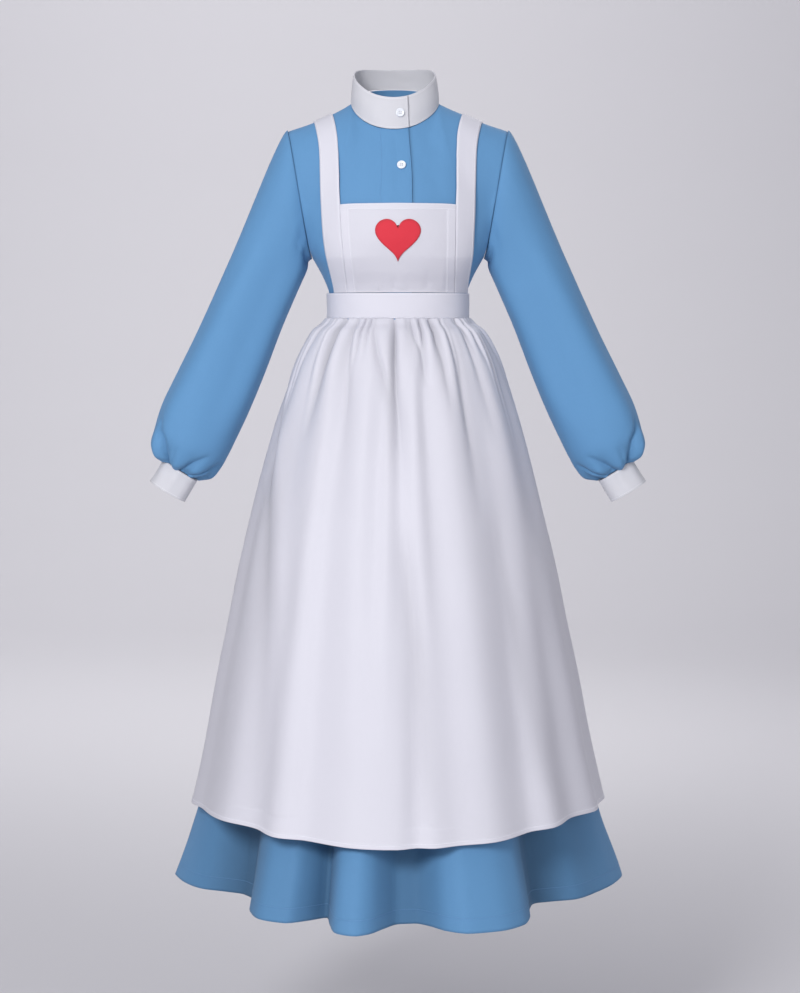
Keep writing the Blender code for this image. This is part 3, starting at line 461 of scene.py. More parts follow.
def heart_line(t):
    """Outline of the patch for t from 0 to 1: x and height, in shares of its half width."""
    a = 2 * np.pi * t
    x = np.sin(a) ** 3
    y = (13 * np.cos(a) - 5 * np.cos(2 * a) - 2 * np.cos(3 * a) - np.cos(4 * a)) / 16
    return x, y + 0.12


def band(angle, h):
    """The inside of the waistband; its end laps over its start at the back."""
    z = BAND_BOTTOM + (BAND_EDGE - BAND_BOTTOM) * h
    lift = LAP * ease((angle - BAND_LAP) / 24)
    row = ring(((-341, 114.5, 88, 84, 0.91), (-340, 114.5, 88, 84, 0.91)), angle % 360, 0 * z - 340,
               ON_DRESS + lift)
    row[..., 2] = z
    return row


def v_at(x, z):
    """The v at which the front of the bodice is x from its middle and z high."""
    v = (z - WAIST) / BODICE
    for _ in range(5):  # each step brings it closer
        v = v + (z - torso(False, u_at(False, x, v), v)[..., 2]) / BODICE
    return v


def inner_line(side):
    """z, x of the front strap's inner edge."""
    v = np.linspace(0, 1, 25)
    x = strap_edges(side, v)[:, 0]
    return np.column_stack([torso(False, u_at(False, x, v), v)[:, 2], x])


INNER_LINES = {side: inner_line(side) for side in (-1, 1)}


def front(x, z):
    """The inside of the dress's front, x from its middle and z high."""
    v = v_at(x, z)
    return torso(False, u_at(False, x, v), v)


def steps(n, low=0.0, high=1.0, crowd=0.85, ends=(True, True)):
    """n steps from low to high, closer together at the chosen ends."""
    t = np.linspace(0, 1, n + 1)
    if ends == (True, True):
        t = t - crowd * np.sin(2 * np.pi * t) / (2 * np.pi)
    elif ends[0]:
        t = t - crowd * np.sin(np.pi * t) / np.pi
    elif ends[1]:
        t = t + crowd * np.sin(np.pi * t) / np.pi
    return low + (high - low) * t


def bump(t, sharp=2.0):
    """1 at 0, falling off to both sides."""
    return np.exp(-np.abs(t) ** sharp)


def at_ends(t, size):
    """1 at t = 0 and at t = 1, falling off from both."""
    return bump(t * size) + bump((1 - t) * size)


def creases(a, b, table):
    """Height of creases that run along b. Each is a table of rows: b, a of its line, width, height."""
    total = np.zeros(np.broadcast(a, b).shape)
    for rows in table:
        line = along(rows, b)
        inside = (b >= min(r[0] for r in rows)) & (b <= max(r[0] for r in rows))
        total = total + np.where(inside, line[..., 2] * bump((a - line[..., 0]) / line[..., 1], 1.6), 0)
    return total


def wander(a, b, seed, waves, low, high):
    """Smooth unevenness from -1 to 1: waves of lengths between low and high in every direction."""
    rng = np.random.default_rng(seed)
    total = 0
    for _ in range(waves):
        turn, phase = rng.uniform(0, np.pi), rng.uniform(0, 2 * np.pi)
        length = rng.uniform(low, high)
        total = total + np.sin(2 * np.pi * (a * np.cos(turn) + b * np.sin(turn)) / length + phase)
    return total / np.sqrt(waves)


def facing(points):
    """The directions in which a grid of points faces."""
    return unit(np.cross(np.gradient(points, axis=0), np.gradient(points, axis=1)))


def shown(name, bm):
    """A new object with the faces of bm, which is freed."""
    mesh = bpy.data.meshes.new(name)
    bm.to_mesh(mesh)
    bm.free()
    obj = bpy.data.objects.new(name, mesh)
    bpy.context.scene.collection.objects.link(obj)
    return obj


def weld(bm):
    """Joins the points that fall together, and turns all faces outward and makes them smooth."""
    bmesh.ops.remove_doubles(bm, verts=bm.verts, dist=1e-6)
    bmesh.ops.recalc_face_normals(bm, faces=bm.faces)
    for face in bm.faces:
        face.smooth = True


def finished(obj, stands_for, stuff):
    """Gives a piece its place on the body and its finish, and hides the node that it stands for."""
    obj.data.materials.append(stuff)
    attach(obj, "root")
    if stands_for:
        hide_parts(stands_for)
    return obj


LAID = {}  # what cloth() has laid out: columns, rows and points of each piece


def cloth(name, f, us, vs, thick, size, stuff, stands_for, high=None, closed=False, fine=None,
          painted_shade=None):
    """A piece of cloth: a grid with columns at us and rows at vs, laid through f(u, v), with a wall outside.

    high(u, v, points) moves it out along its own direction. size is its width and length in metres for the
    weave. fine is a test of rows whose columns are doubled. The last argument, a function of u and v, is
    painted shade: how much darker folded, gathered and seamed places are painted; below 0 it gives painted
    highlights on edges and a lighter colour on hems.
    """
    cols, rows = len(us) - 1, len(vs) - 1
    us = picked(us, np.arange(2 * cols + 1) / 2) if fine else np.asarray(us)
    u, v = np.meshgrid(us, vs, indexing="ij")
    points = f(u, v)
    if high:
        points = points + high(u, v, points)[..., None] * facing(points)
    if closed:
        points[0] = points[-1] = (points[0] + points[-1]) / 2
    points = lean(points)
    LAID[name] = us, vs, points
    bm = bmesh.new()
    bmesh.ops.create_grid(bm, x_segments=cols, y_segments=rows, size=0.5)
    if fine:
        level_edges = [e for e in bm.edges if abs(e.verts[0].co.y - e.verts[1].co.y) < 1e-6
                       and fine((e.verts[0].co.y + 0.5) * rows)]
        bmesh.ops.subdivide_edges(bm, edges=level_edges, cuts=1, use_grid_fill=True)
    obj = shown(name, bm)
    mesh = obj.data
    at = np.empty(len(mesh.vertices) * 3)
    mesh.vertices.foreach_get("co", at)
    at = np.rint((at.reshape(-1, 3)[:, :2] + 0.5) * (len(us) - 1, rows)).astype(int)
    at = at[:, 0], at[:, 1]
    mesh.vertices.foreach_set("co", (points[at] * MM).ravel())
    # Painted shade for the finish, one share per point: darker in folds, gathers and seams, and painted
    # highlights where it is below 0.
    dark = mesh.attributes.new("painted_shade", "FLOAT", "POINT")
    dark.data.foreach_set("value", (painted_shade(u, v) if painted_shade else 0 * u)[at].astype(np.float32))
    corner = np.empty(len(mesh.loops), int)
    mesh.loops.foreach_get("vertex_index", corner)
    share = np.column_stack([(u[at] - us[0]) / (us[-1] - us[0]), (v[at] - vs[0]) / (vs[-1] - vs[0])])
    layer = mesh.uv_layers.new(name="cloth")
    layer.uv.foreach_set("vector", (share[corner] * np.array(size)).ravel())
    mesh.polygons.foreach_set("use_smooth", [True] * len(mesh.polygons))
    if closed:
        bm = bmesh.new()
        bm.from_mesh(mesh)
        bmesh.ops.remove_doubles(bm, verts=bm.verts, dist=1e-6)
        bm.to_mesh(mesh)
        bm.free()
    wall = obj.modifiers.new("wall", "SOLIDIFY")
    wall.thickness, wall.offset, wall.use_even_offset = thick * MM, 1, False
    wall.use_quality_normals = True
    return finished(obj, stands_for, stuff)


def on_piece(name, u, v, off):
    """Points over a piece that is laid out, off from its inside, and the directions outward."""
    us, vs, points = LAID[name]
    u, v = np.broadcast_arrays(np.asarray(u, float), np.asarray(v, float))

    def index(t, every):
        way = 1 if every[-1] > every[0] else -1
        return np.interp(way * t, way * every, np.arange(len(every)))

    i, j = index(u, us), index(v, vs)
    a, b = np.minimum(i.astype(int), len(us) - 2), np.minimum(j.astype(int), len(vs) - 2)
    i, j = (i - a)[..., None], (j - b)[..., None]

    def between(grid):
        return ((1 - i) * ((1 - j) * grid[a, b] + j * grid[a, b + 1])
                + i * ((1 - j) * grid[a + 1, b] + j * grid[a + 1, b + 1]))

    normal = unit(between(facing(points)))
    return between(points) + np.asarray(off)[..., None] * normal, normal


THREAD_DIP, THREAD_RISE = -0.35, 0.16  # height of a thread between and on its stitches


def thread(bm, points, normals, pitch=3.4, radius=0.26):
    """One row of stitches along points: a thread that dips into the cloth between them."""
    run = np.append(0, np.cumsum(np.linalg.norm(np.diff(points, axis=0), axis=1)))
    count = max(int(run[-1] / pitch), 2)
    cols, around = 4 * count, 4
    made = bmesh.ops.create_grid(bm, x_segments=cols, y_segments=around, size=0.5)["verts"]
    q = np.array([(v.co.x + 0.5, v.co.y + 0.5) for v in made])
    s = q[:, 0] * run[-1]
    centre = np.column_stack([np.interp(s, run, points[:, i]) for i in range(3)])
    up = unit(np.column_stack([np.interp(s, run, normals[:, i]) for i in range(3)]))
    ahead = unit(np.column_stack([np.interp(np.minimum(s + 0.5, run[-1]), run, points[:, i])
                                  - np.interp(np.maximum(s - 0.5, 0), run, points[:, i]) for i in range(3)]))
    side = unit(np.cross(up, ahead))
    phase = q[:, 0] * count % 1
    high = np.where(np.isclose(np.minimum(phase, 1 - phase), 0, atol=0.01), THREAD_DIP, THREAD_RISE)
    thick = radius * np.where(high < 0, 0.6, 1.0)  # drawn tight where it dips
    turn = 2 * np.pi * q[:, 1]
    where = (centre + up * (high + thick * np.sin(turn))[:, None] + side * (thick * np.cos(turn))[:, None])
    for v, p in zip(made, where):
        v.co = p * MM


def sew(name, lines, stuff):
    """Every row of stitches in one colour, from lines of points and directions outward."""
    bm = bmesh.new()
    for at, normal in lines:
        thread(bm, at, normal)
    weld(bm)
    return finished(shown(name, bm), None, stuff)


# Bodice

# x, z of one end and the other, width, height: pulls in the cloth of each half
PULLS = (
    (148, -238, 104, -330, 9, -2.2), (158, -215, 118, -318, 8, 1.6), (150, -250, 120, -345, 7, -1.6),
    (160, -180, 120, -150, 14, -1.4), (60, -62, 105, -150, 12, -0.9), (78, -40, 130, -120, 14, 0.8),
    (30, -80, 62, -150, 9, -0.5))


def pulls(x, z, table=PULLS):
    """Straight soft folds between two points."""
    total = 0
    for x0, z0, x1, z1, wide, high in table:
        d = np.array([x1 - x0, z1 - z0], float)
        size = np.linalg.norm(d)
        t = ((x - x0) * d[0] + (z - z0) * d[1]) / size ** 2
        away = ((x - x0) * d[1] - (z - z0) * d[0]) / size
        total = total + high * bump(away / wide) * ease(t / 0.3) * ease((1 - t) / 0.6)
    return total


BODICE_HALF, SEAM_WIDE = 150, 2.2  # half the width of the bodice, and how far a seam draws it in


def seam_dip(u, v):
    """Depth to which the bodice's edges are drawn in at its seams, and 0 elsewhere."""
    at_side = (1 - np.abs(u)) * BODICE_HALF
    at_top = (1 - v) * BODICE + np.where(np.abs(u) < NECK_SHARE, 20, 0)  # none at the neck
    return bump(at_side / SEAM_WIDE) + bump(at_top / SEAM_WIDE)


def bodice_folds(back, u, v, p, lap=0.0):
    """Height of the bodice's folds; lap is 1 for the front that lies on top near its edge."""
    x, z = p[..., 0], p[..., 2]
    folds = pulls(np.abs(x), z) * (0.7 if back else 1.0) + 0.5 * wander(x, z, 11 + back, 6, 70, 190)
    folds = folds * ease((1 - np.abs(u)) / 0.1) * ease((1 - v) / 0.08) * ease((v - 0.08) / 0.15)
    return lap * 1.9 * ease((x + 30) / 20) + folds * look().folds - 0.5 * seam_dip(u, v)


NEAR_U = 0.27  # u from the middle up to which the columns follow the front edges
RIGHT_Q, LEFT_Q = 0.7, 0.25  # the shares of the two fronts' columns at which they begin to


def right_u(q, v):
    """u across the right front, from its side at 0 to its lapped edge at 1."""
    turn = torso(False, np.full_like(v, -NEAR_U), v)[..., 0]
    near = u_at(False, turn + (LAP_RIGHT - turn) * np.clip((q - RIGHT_Q) / (1 - RIGHT_Q), 0, 1), v)
    return np.where(q < RIGHT_Q, -1 + (1 - NEAR_U) * q / RIGHT_Q, near)


def left_u(q, v):
    """u across the left front, from its edge under the lap at 0 to its side at 1."""
    turn = torso(False, np.full_like(v, NEAR_U), v)[..., 0]
    near = u_at(False, LAP_LEFT + (turn - LAP_LEFT) * np.clip(q / LEFT_Q, 0, 1), v)
    return np.where(q < LEFT_Q, near, NEAR_U + (1 - NEAR_U) * (q - LEFT_Q) / (1 - LEFT_Q))


def build_bodice():
    rows = steps(116, crowd=0.8)
    stuff = blue_cloth()
    # Painted shade along the seams of each piece, and a painted shadow on the left front under the right
    # front's edge.
    right = cloth("right_front", lambda q, v: torso(False, right_u(q, v), v), steps(112, crowd=0.8), rows,
                  DRESS_CLOTH, (0.205, 0.30), stuff, "bodice_front_right",
                  high=lambda q, v, p: bodice_folds(False, right_u(q, v), v, p, 1.0),
                  painted_shade=lambda q, v: 0.18 * seam_dip(right_u(q, v), v))
    left = cloth("left_front", lambda q, v: torso(False, left_u(q, v), v), steps(100, crowd=0.8), rows,
                 DRESS_CLOTH, (0.18, 0.30), stuff, "bodice_front_left",
                 high=lambda q, v, p: bodice_folds(False, left_u(q, v), v, p),
                 painted_shade=lambda q, v: 0.18 * seam_dip(left_u(q, v), v) + 0.35 * under_lap(left_u(q, v), v))
    back = cloth("back", lambda u, v: torso(True, u, v), steps(150, 1, -1, 0.8), rows, DRESS_CLOTH,
                 (0.37, 0.33), stuff, "bodice_back",
                 high=lambda u, v, p: bodice_folds(True, u, v, p), painted_shade=lambda u, v: 0.18 * seam_dip(u, v))


def under_lap(u, v):
    """Where the left front lies in the shadow of the right one's edge."""
    x = torso(False, u, v)[..., 0]
    return bump((x - LAP_RIGHT) / 3.5)


# Dress skirt

WAIST_GATHERS = 34


def skirt_wall(angle, z):
    """The dress skirt, with small gathers at the waist and uneven cloth below."""
    p = skirt(angle, z)
    fade = ease((-350 - z) / 25) * (1 - ease((-400 - z) / 160))
    gather = np.cos(np.radians(angle) * WAIST_GATHERS + 1.5 * np.sin(np.radians(angle) * 5))
    uneven = wander(angle * 4.5, z, 31, 7, 120, 420) * ease((-430 - z) / 250)
    off = (1.3 * fade * gather + 1.6 * uneven) * look().folds
    away = unit(p * np.array([1, 1, 0]))
    return p + away * off[..., None]


def hem_shade(angle, z):
    """Painted shade in the folds of the dress's hem, and a little darker all over."""
    return 0.06 + 0.5 * np.clip((0.97 - hem_depth(angle)) / 0.22, 0, 1) * below_hips(z)


def build_skirt():
    rows = steps(104, HEM, WAIST - 0.2, 0.5, (True, False))
    stuff = blue_cloth()
    for name, node, low, high in (("skirt_front_cloth", "skirt_front", -90, 90),
                                  ("skirt_back_cloth", "skirt_back", 90, 270)):
        piece = cloth(name, skirt_wall, steps(200, low, high, 0.3), rows, DRESS_CLOTH, (0.95, 1.0), stuff,
                      node, painted_shade=hem_shade)


# Sleeves

SLEEVE_LONG, SLEEVE_ROUND = 430, 420  # about the length of the sleeve, and the way round it
# Share of the turn, share of the length it starts at, width, height: folds that run into the cuff
CUFF_FOLDS = (
    (0.04, 0.8, 0.03, -4), (0.105, 0.86, 0.022, 2.2), (0.165, 0.84, 0.024, -3.4), (0.23, 0.88, 0.025, 2.4),
    (0.29, 0.87, 0.022, -3), (0.36, 0.89, 0.03, 2), (0.43, 0.88, 0.025, -2.6), (0.51, 0.88, 0.028, 2.2),
    (0.58, 0.87, 0.024, -3.2), (0.65, 0.88, 0.028, 2.4), (0.72, 0.86, 0.024, -3.2), (0.8, 0.88, 0.028, 2.4),
    (0.87, 0.85, 0.024, -3), (0.945, 0.87, 0.026, 2.2))
# Share of the turn at the shoulder and at the wrist, width, height, start and end: long soft folds
LONG_FOLDS = (
    (0.2, 0.13, 0.05, 2.4, 0.1, 0.95), (0.3, 0.3, 0.06, -2.6, 0.05, 0.9), (0.4, 0.38, 0.045, 1.8, 0.02, 0.8),
    (0.1, 0.02, 0.05, -1.8, 0.25, 0.95), (0.7, 0.72, 0.06, -2.6, 0.05, 0.9),
    (0.82, 0.86, 0.06, 2.2, 0.1, 0.95), (0.6, 0.55, 0.05, 1.8, 0.1, 0.85))
# The deep creases over the cuff: minus the place along the sleeve, share of the turn, width, height
WRIST_CREASES = (
    ((-0.78, 0.08, 0.014, 0), (-0.815, 0.09, 0.017, -5.5), (-0.864, 0.14, 0.017, -9),
    (-0.93, 0.163, 0.017, -9), (-1, 0.175, 0.015, -4)), ((-0.79, 0.045, 0.02, 0), (-0.84, 0.075, 0.026, 4),
    (-0.9, 0.105, 0.026, 4.5), (-0.96, 0.12, 0.022, 2.5), (-1, 0.13, 0.02, 0)), ((-0.85, 0.36, 0.016, 0),
    (-0.9, 0.32, 0.016, -5), (-0.955, 0.275, 0.015, -6.5), (-1, 0.25, 0.014, -3)), ((-0.87, 0.45, 0.018, 0),
    (-0.915, 0.41, 0.017, -5), (-0.96, 0.35, 0.016, -6.5), (-1, 0.32, 0.014, -3)), ((-0.86, 0.215, 0.012, 0),
    (-0.905, 0.215, 0.013, -3.5), (-0.955, 0.21, 0.013, -4.5), (-1, 0.205, 0.012, -2)))
# Share of the turn, place along the sleeve, width round it, length, height: short pulls from the armhole
ARM_PULLS = (
    (0.44, 0.05, 0.025, 0.1, -2.2), (0.4, 0.06, 0.02, 0.12, 1.4), (0.37, 0.07, 0.02, 0.14, -1.8),
    (0.56, 0.05, 0.025, 0.1, -2.2), (0.6, 0.06, 0.02, 0.12, 1.4), (0.06, 0.06, 0.03, 0.12, -0.8),
    (0.48, 0.14, 0.1, 0.035, -1.6), (0.48, 0.22, 0.12, 0.04, 1.2))


def round_gap(share, place):
    """The shorter way round between two shares of a turn."""
    return (share - place + 0.5) % 1 - 0.5


def sleeve_folds(share, s):
    total = 0
    for place, start, wide, high in CUFF_FOLDS:
        line = place + 0.02 * np.sin(9 * s + 40 * place)
        wide = wide * (1.25 - 0.5 * ease((s - start) / 0.15))
        rise = 1.25 * high * ease((s - start + 0.04) / 0.12)
        total = total + rise * bump(round_gap(share, line) / wide, 1.7)
    for top, low, wide, high, start, end in LONG_FOLDS:
        line = top + (low - top) * s
        rise = 1.7 * high * ease((s - start) / 0.25) * ease((end - s) / 0.2)
        total = total + rise * bump(round_gap(share, line) / wide)
    for place, at, wide, size, high in ARM_PULLS:
        total = total + high * bump(round_gap(share, place) / wide) * bump((s - at) / size) * ease(s / 0.03)
    total = total + creases(share, -s, WRIST_CREASES)
    uneven = 0.9 * wander(share * SLEEVE_ROUND, s * SLEEVE_LONG, 51, 6, 90, 240)
    return (total + uneven * ease(s / 0.1) * ease((1 - s) / 0.1)) * look().folds


def sleeve_wall(share, s):
    """The left sleeve, whose gathered end bags out over the cuff in scallops."""
    p = sleeve(share, np.clip(s, 0, 1), sleeve_folds(share, s) * ease((1.01 - s) / 0.05)
               - 0.4 * bump(s * SLEEVE_LONG / 2.5))
    sag = sum(high * bump(round_gap(share, place) / wide, 1.7) for place, _, wide, high in CUFF_FOLDS)
    low = (3.6 + 1.1 * sag) * ease((s - 0.87) / 0.08) * ease((1.0 - s) / 0.022)
    return p + low[..., None] * np.array([0.55, 0, -0.83])


def mirrored(f, side):
    """A surface made for the wearer's left, or its mirror image."""
    return lambda u, v: f(u, v) * np.array([side, 1, 1])


def build_sleeves():
    turns = np.linspace(0, 1, 137)
    rows = np.concatenate([steps(98, 0, 0.86, 0.75, (True, False)), np.linspace(0.864, 1, 32)])
    stuff = blue_cloth()
    for name, side in (("left", 1), ("right", -1)):
        # Painted shade: at the armhole seam, where the sleeve's gathered end goes into the cuff, and in the
        # hollows of the folds near the cuff.
        painted_shade = lambda share, s: (0.15 * bump(s * SLEEVE_LONG / 2.5) + 0.25 * ease((s - 0.97) / 0.03)
                                  + 0.10 * np.clip(-sleeve_folds(share, s) / 3, 0, 1) * ease((s - 0.8) / 0.1))
        order = turns if side < 0 else turns[::-1]
        piece = cloth(f"{name}_sleeve", mirrored(sleeve_wall, side), order, rows[::-1],
                      DRESS_CLOTH, (0.42, 0.44), stuff, f"sleeve_{name}", closed=True,
                      painted_shade=painted_shade)


# Collar, cuffs and waistband

def collar_wall(angle, h):
    """The collar, a little uneven."""
    p = collar(angle, h)
    s, c = sin_cos(angle)
    uneven = 0.35 * wander(angle * 1.2, h * 45, 71, 6, 30, 90) * np.sin(np.pi * np.clip(h, 0, 1))
    return p + unit(xyz(s, -c, 0)) * (uneven * look().folds)[..., None]


def cuff_wall(turn, h):
    """The left cuff, with the ripple of the gathers that it holds."""
    p = cuff(turn, h)
    folds = 0.9 * np.cos(2 * np.pi * turn * 7 + 1.2) * (1 - 0.5 * h)
    folds = folds + 0.3 * wander(turn * 160, h * 45, 73, 5, 25, 60)
    inside = ease((turn - CUFF_FROM) / 0.1) * ease((CUFF_TO - turn) / 0.1)
    return p + unit(p - cuff_middle(h)) * (folds * inside * look().folds)[..., None]


def band_wall(angle, h):
    """The waistband, whose edges are drawn in at the seams."""
    p = band(angle, h)
    away = unit(p * np.array([1, 1, 0]))
    uneven = 0.45 * wander(angle * 1.8, h * 60, 75, 7, 25, 90) * np.sin(np.pi * h)
    return p + away * ((uneven - 0.5 * at_ends(h, 21)) * look().folds)[..., None]


def build_collar_and_cuffs():
    stuff = trim_cloth()
    rows = steps(22, crowd=0.8)
    # Painted highlights along the collar's top and bottom edges.
    piece = cloth("stand_collar", collar_wall, steps(170, COLLAR_FROM, COLLAR_TO, 0.3), rows, DOUBLE_CLOTH,
                  (0.47, 0.045), stuff, "collar",
                  painted_shade=lambda angle, h: -0.05 * at_ends(h, 20))
    for name, side in (("left", 1), ("right", -1)):
        turns = steps(104, CUFF_FROM, CUFF_TO, 0.4)
        piece = cloth(f"{name}_cuff", mirrored(cuff_wall, side), turns if side < 0 else turns[::-1],
                      rows[::-1], DOUBLE_CLOTH, (0.19, 0.045), stuff, f"cuff_{name}")


def build_waistband():
    # Painted highlights along the band's top and bottom edges, and a little lighter all over.
    piece = cloth("waistband", band_wall, steps(250, BAND_FROM, BAND_TO, 0.2), steps(18, crowd=0.8),
                  DOUBLE_CLOTH, (0.74, 0.042), white_cloth(), "apron_waistband",
                  painted_shade=lambda angle, h: -0.03 - 0.05 * at_ends(h, 21))


# Bib, heart and straps

BIB_SIDE_HEM, BIB_TOP_HEM = 13.0, 10.0  # the turned edges
BIB_GAP = 0.4  # from the bib to each strap


def bib_edges(z):
    """How far the bib goes from the middle to the wearer's right and left."""
    return [value(INNER_LINES[side], z) - BIB_GAP for side in (-1, 1)]


def bib_x(s, z):
    right, left = bib_edges(z)
    return (left - right) / 2 + s * (left + right) / 2


def bib_hem(s, z):
    """1 on the turned edges of the bib, 0 between them."""
    in_from_side = (1 - np.abs(s)) * sum(bib_edges(z)) / 2
    return np.maximum(ease(BIB_SIDE_HEM - in_from_side + 0.5), ease(z - BIB_TOP + BIB_TOP_HEM + 0.5))


def bib_high(s, z, p):
    x = bib_x(s, z)
    inner = ease((1 - np.abs(s)) / 0.2) * ease((BIB_TOP - z) / 15) * ease((z - BAND_TOP) / 12)
    soft = 0.55 * wander(x, z, 81, 7, 45, 150) + pulls(x, z, BIB_PULLS)
    return ON_DRESS + soft * inner * look().folds + 0.55 * bib_hem(s, z)


# x, z of one end and the other, width, height
BIB_PULLS = (
    (-30, -320, -34, -285, 4, 1), (8, -321, 5, -270, 7, 1.2), (-4, -321, -8, -285, 4, -1),
    (45, -320, 52, -270, 6, -0.9), (-62, -320, -70, -262, 7, 1), (70, -320, 74, -250, 6, 0.9))


def strap_high(s, w, side):
    """Height of a strap over the dress's inside, with a little roll at its edges."""
    uneven = 0.35 * wander(s * 14, w * 380, 90 + side, 6, 30, 110) * look().folds
    return strap_off(w) + uneven - 0.35 * bump((1 - np.abs(s)) / 0.12)


STRAP_START = (BAND_TOP - WAIST) / BODICE


def build_bib_and_straps():
    stuff = white_cloth()
    rows = steps(90, BAND_TOP, BIB_TOP, 0.75)
    # A little darker all over, lighter on the doubled cloth of the turned hems, and a painted highlight along
    # the top edge.
    piece = cloth("bib", lambda s, z: front(bib_x(s, z), z), steps(120, -1, 1, 0.75), rows, APRON_CLOTH,
                  (0.19, 0.15), stuff, "apron_bib", high=bib_high,
                  painted_shade=lambda s, z: 0.04 - 0.05 * bib_hem(s, z) - 0.05 * bump((BIB_TOP - z) / 1.8))
    for name, side in (("left", 1), ("right", -1)):
        # Painted highlights along both edges of each strap.
        piece = cloth(f"{name}_strap", lambda s, w: strap(side, s, w), np.linspace(-1, 1, 13) * side,
                      steps(320, STRAP_START, 2 - STRAP_START, 0.4), APRON_CLOTH, (0.03, 0.66), stuff,
                      f"apron_strap_{name}", high=lambda s, w, p: strap_high(s, w, side),
                      painted_shade=lambda s, w: -0.07 * bump((1 - np.abs(s)) / 0.16))


HEART_WIDE, HEART_Z, HEART_CLOTH = 36.5, -231.0, 0.8
ON_BIB = 0.65  # clear of the turned edges of the bib


def heart_base(t, r):
    """Rings from the heart's outline at r = 0 to its middle at r = 1, on the front."""
    x, y = heart_line(t)
    size = 1 - 0.985 * r
    return front(x * size * HEART_WIDE, HEART_Z + y * size * HEART_WIDE)


def build_heart():
    # Painted shade along the patch's edge, where it is drawn down onto the bib.
    piece = cloth("heart_patch", heart_base, np.linspace(1, 0, 105), steps(16, crowd=0.7), HEART_CLOTH,
                  (0.2, 0.035), red_cloth(), "apron_heart", closed=True,
                  high=lambda t, r, p: ON_DRESS + APRON_CLOTH + ON_BIB - 0.35 * bump(r / 0.05),
                  painted_shade=lambda t, r: 0.25 * bump(r / 0.05))
    bm = bmesh.new()
    bm.from_mesh(piece.data)
    low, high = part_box("apron_heart")
    middle = [e for e in bm.edges if e.is_boundary
              and all(abs(v.co.x) < 0.004 and low.z + 0.01 < v.co.z < high.z - 0.01 for v in e.verts)]
    bmesh.ops.contextual_create(bm, geom=middle)
    bm.to_mesh(piece.data)
    bm.free()


# Apron skirt

APRON_TOP = -361.25
APRON_LONG, APRON_ROLL = 820.0, 7.0  # length, and height of the rolled hem
GATHER_ROWS = 56  # rows with doubled columns

# Each crease: z, degrees, width in degrees, height
APRON_CREASES = (
    ((-361, -1.6, 1.3, -2), (-400, -1.6, 1.5, -8), (-470, -1.3, 1.9, -9), (-540, 0.2, 2.6, -5),
    (-640, 0.5, 3.5, 0)), ((-361, 8, 1.2, -2), (-390, 9.8, 1.4, -6), (-422, 12.8, 1.7, -6),
    (-480, 14.5, 2.6, 0)), ((-361, 22, 1.5, -1.5), (-390, 23, 1.8, -4.5), (-440, 25, 2.2, -4.5),
    (-520, 26, 3.2, 0)), ((-361, 36, 1.6, -1.5), (-400, 36, 2.2, -5.5), (-495, 35.1, 3, -7),
    (-573, 34.3, 4, -5), (-700, 33, 5, 0)), ((-361, -16, 1.6, -1.5), (-400, -13, 1.9, -5.5),
    (-459, -6.8, 2.4, -6), (-520, -4, 3.2, -2.5), (-600, -3, 4, 0)), ((-361, -30, 1.5, -1.5),
    (-400, -29, 2, -4.5), (-470, -27, 2.8, -5), (-570, -25, 4, -2), (-690, -23, 5, 0)),
    ((-361, -42, 1.6, -1.5), (-400, -44, 2.2, -3.6), (-470, -46, 3, -3.5), (-560, -47, 4, 0)),
    ((-361, 46, 1.6, -1.5), (-400, 47, 2.2, -3.8), (-470, 49, 3, -3.8), (-580, 50, 4.5, 0)),
    ((-440, -92, 5, 0), (-520, -81, 5, -5), (-600, -71, 5, -7), (-730, -59, 4.5, -7), (-850, -52, 4.5, -6.5),
    (-977, -47.5, 4.5, -5.5), (-1150, -44, 5, -2)), ((-440, -82, 5, 0), (-520, -71, 5, 2.5),
    (-600, -61, 5, 3.5), (-730, -50, 4.5, 3.5), (-850, -43.5, 4.5, 3), (-977, -39.5, 4.5, 2.5),
    (-1150, -36, 5, 1)), ((-690, 2.5, 2.6, 0), (-790, 4, 3, -5.5), (-890, 6.4, 3.4, -7), (-1040, 8, 4, -5),
    (-1160, 9, 5, -1.5)), ((-640, 44, 4, 0), (-760, 43, 4, -5), (-849, 43.5, 4.2, -6.5),
    (-1000, 44, 5, -4.5), (-1130, 45, 6, 0)))


def gather_phase(angle):
    """Turns of the gathers, unevenly spread."""
    share = (angle + APRON_HALF) / (2 * APRON_HALF)
    return (GATHERS * share + 0.28 * np.sin(2 * np.pi * share * 7 + 0.6)
            + 0.20 * np.sin(2 * np.pi * share * 11 + 2.0) + 0.13 * np.sin(2 * np.pi * share * 17 + 4.0))


def gathers(angle, z):
    """Height of the gathers, each of its own depth and length."""
    turn = gather_phase(angle)
    share = (angle + APRON_HALF) / (2 * APRON_HALF)
    depth = 1 + 0.35 * np.sin(2 * np.pi * share * 9 + 1.0) + 0.25 * np.sin(2 * np.pi * share * 14 + 3.0)
    reach = 76 + 42 * np.sin(2 * np.pi * share * 8 + 2.0) + 24 * np.sin(2 * np.pi * share * 13)
    down = APRON_TOP - z
    big = along(((0, 1.6), (10, 3.1), (22, 3.9), (40, 3.8), (75, 2.9), (110, 1.8), (170, 0.6), (240, 0)),
                down * 110 / np.maximum(reach, 35))[..., 0]
    wave = np.cos(2 * np.pi * turn)
    wave = np.sign(wave) * np.abs(wave) ** 0.8
    small = 0.7 * np.cos(2 * np.pi * turn * 2.37 + 1.0) * bump(down / 22)
    return big * depth * wave + small


def apron_hem(h):
    """1 on the narrow rolled hem at the foot of the apron, 0 above it."""
    return ease((h * APRON_LONG - APRON_LONG + APRON_ROLL) / 1.2 + 0.5)


def apron_z(angle, h):
    """z for a share of the way from the waistband to the hem."""
    return APRON_TOP + (value(APRON_HEM, angle) - APRON_TOP) * h


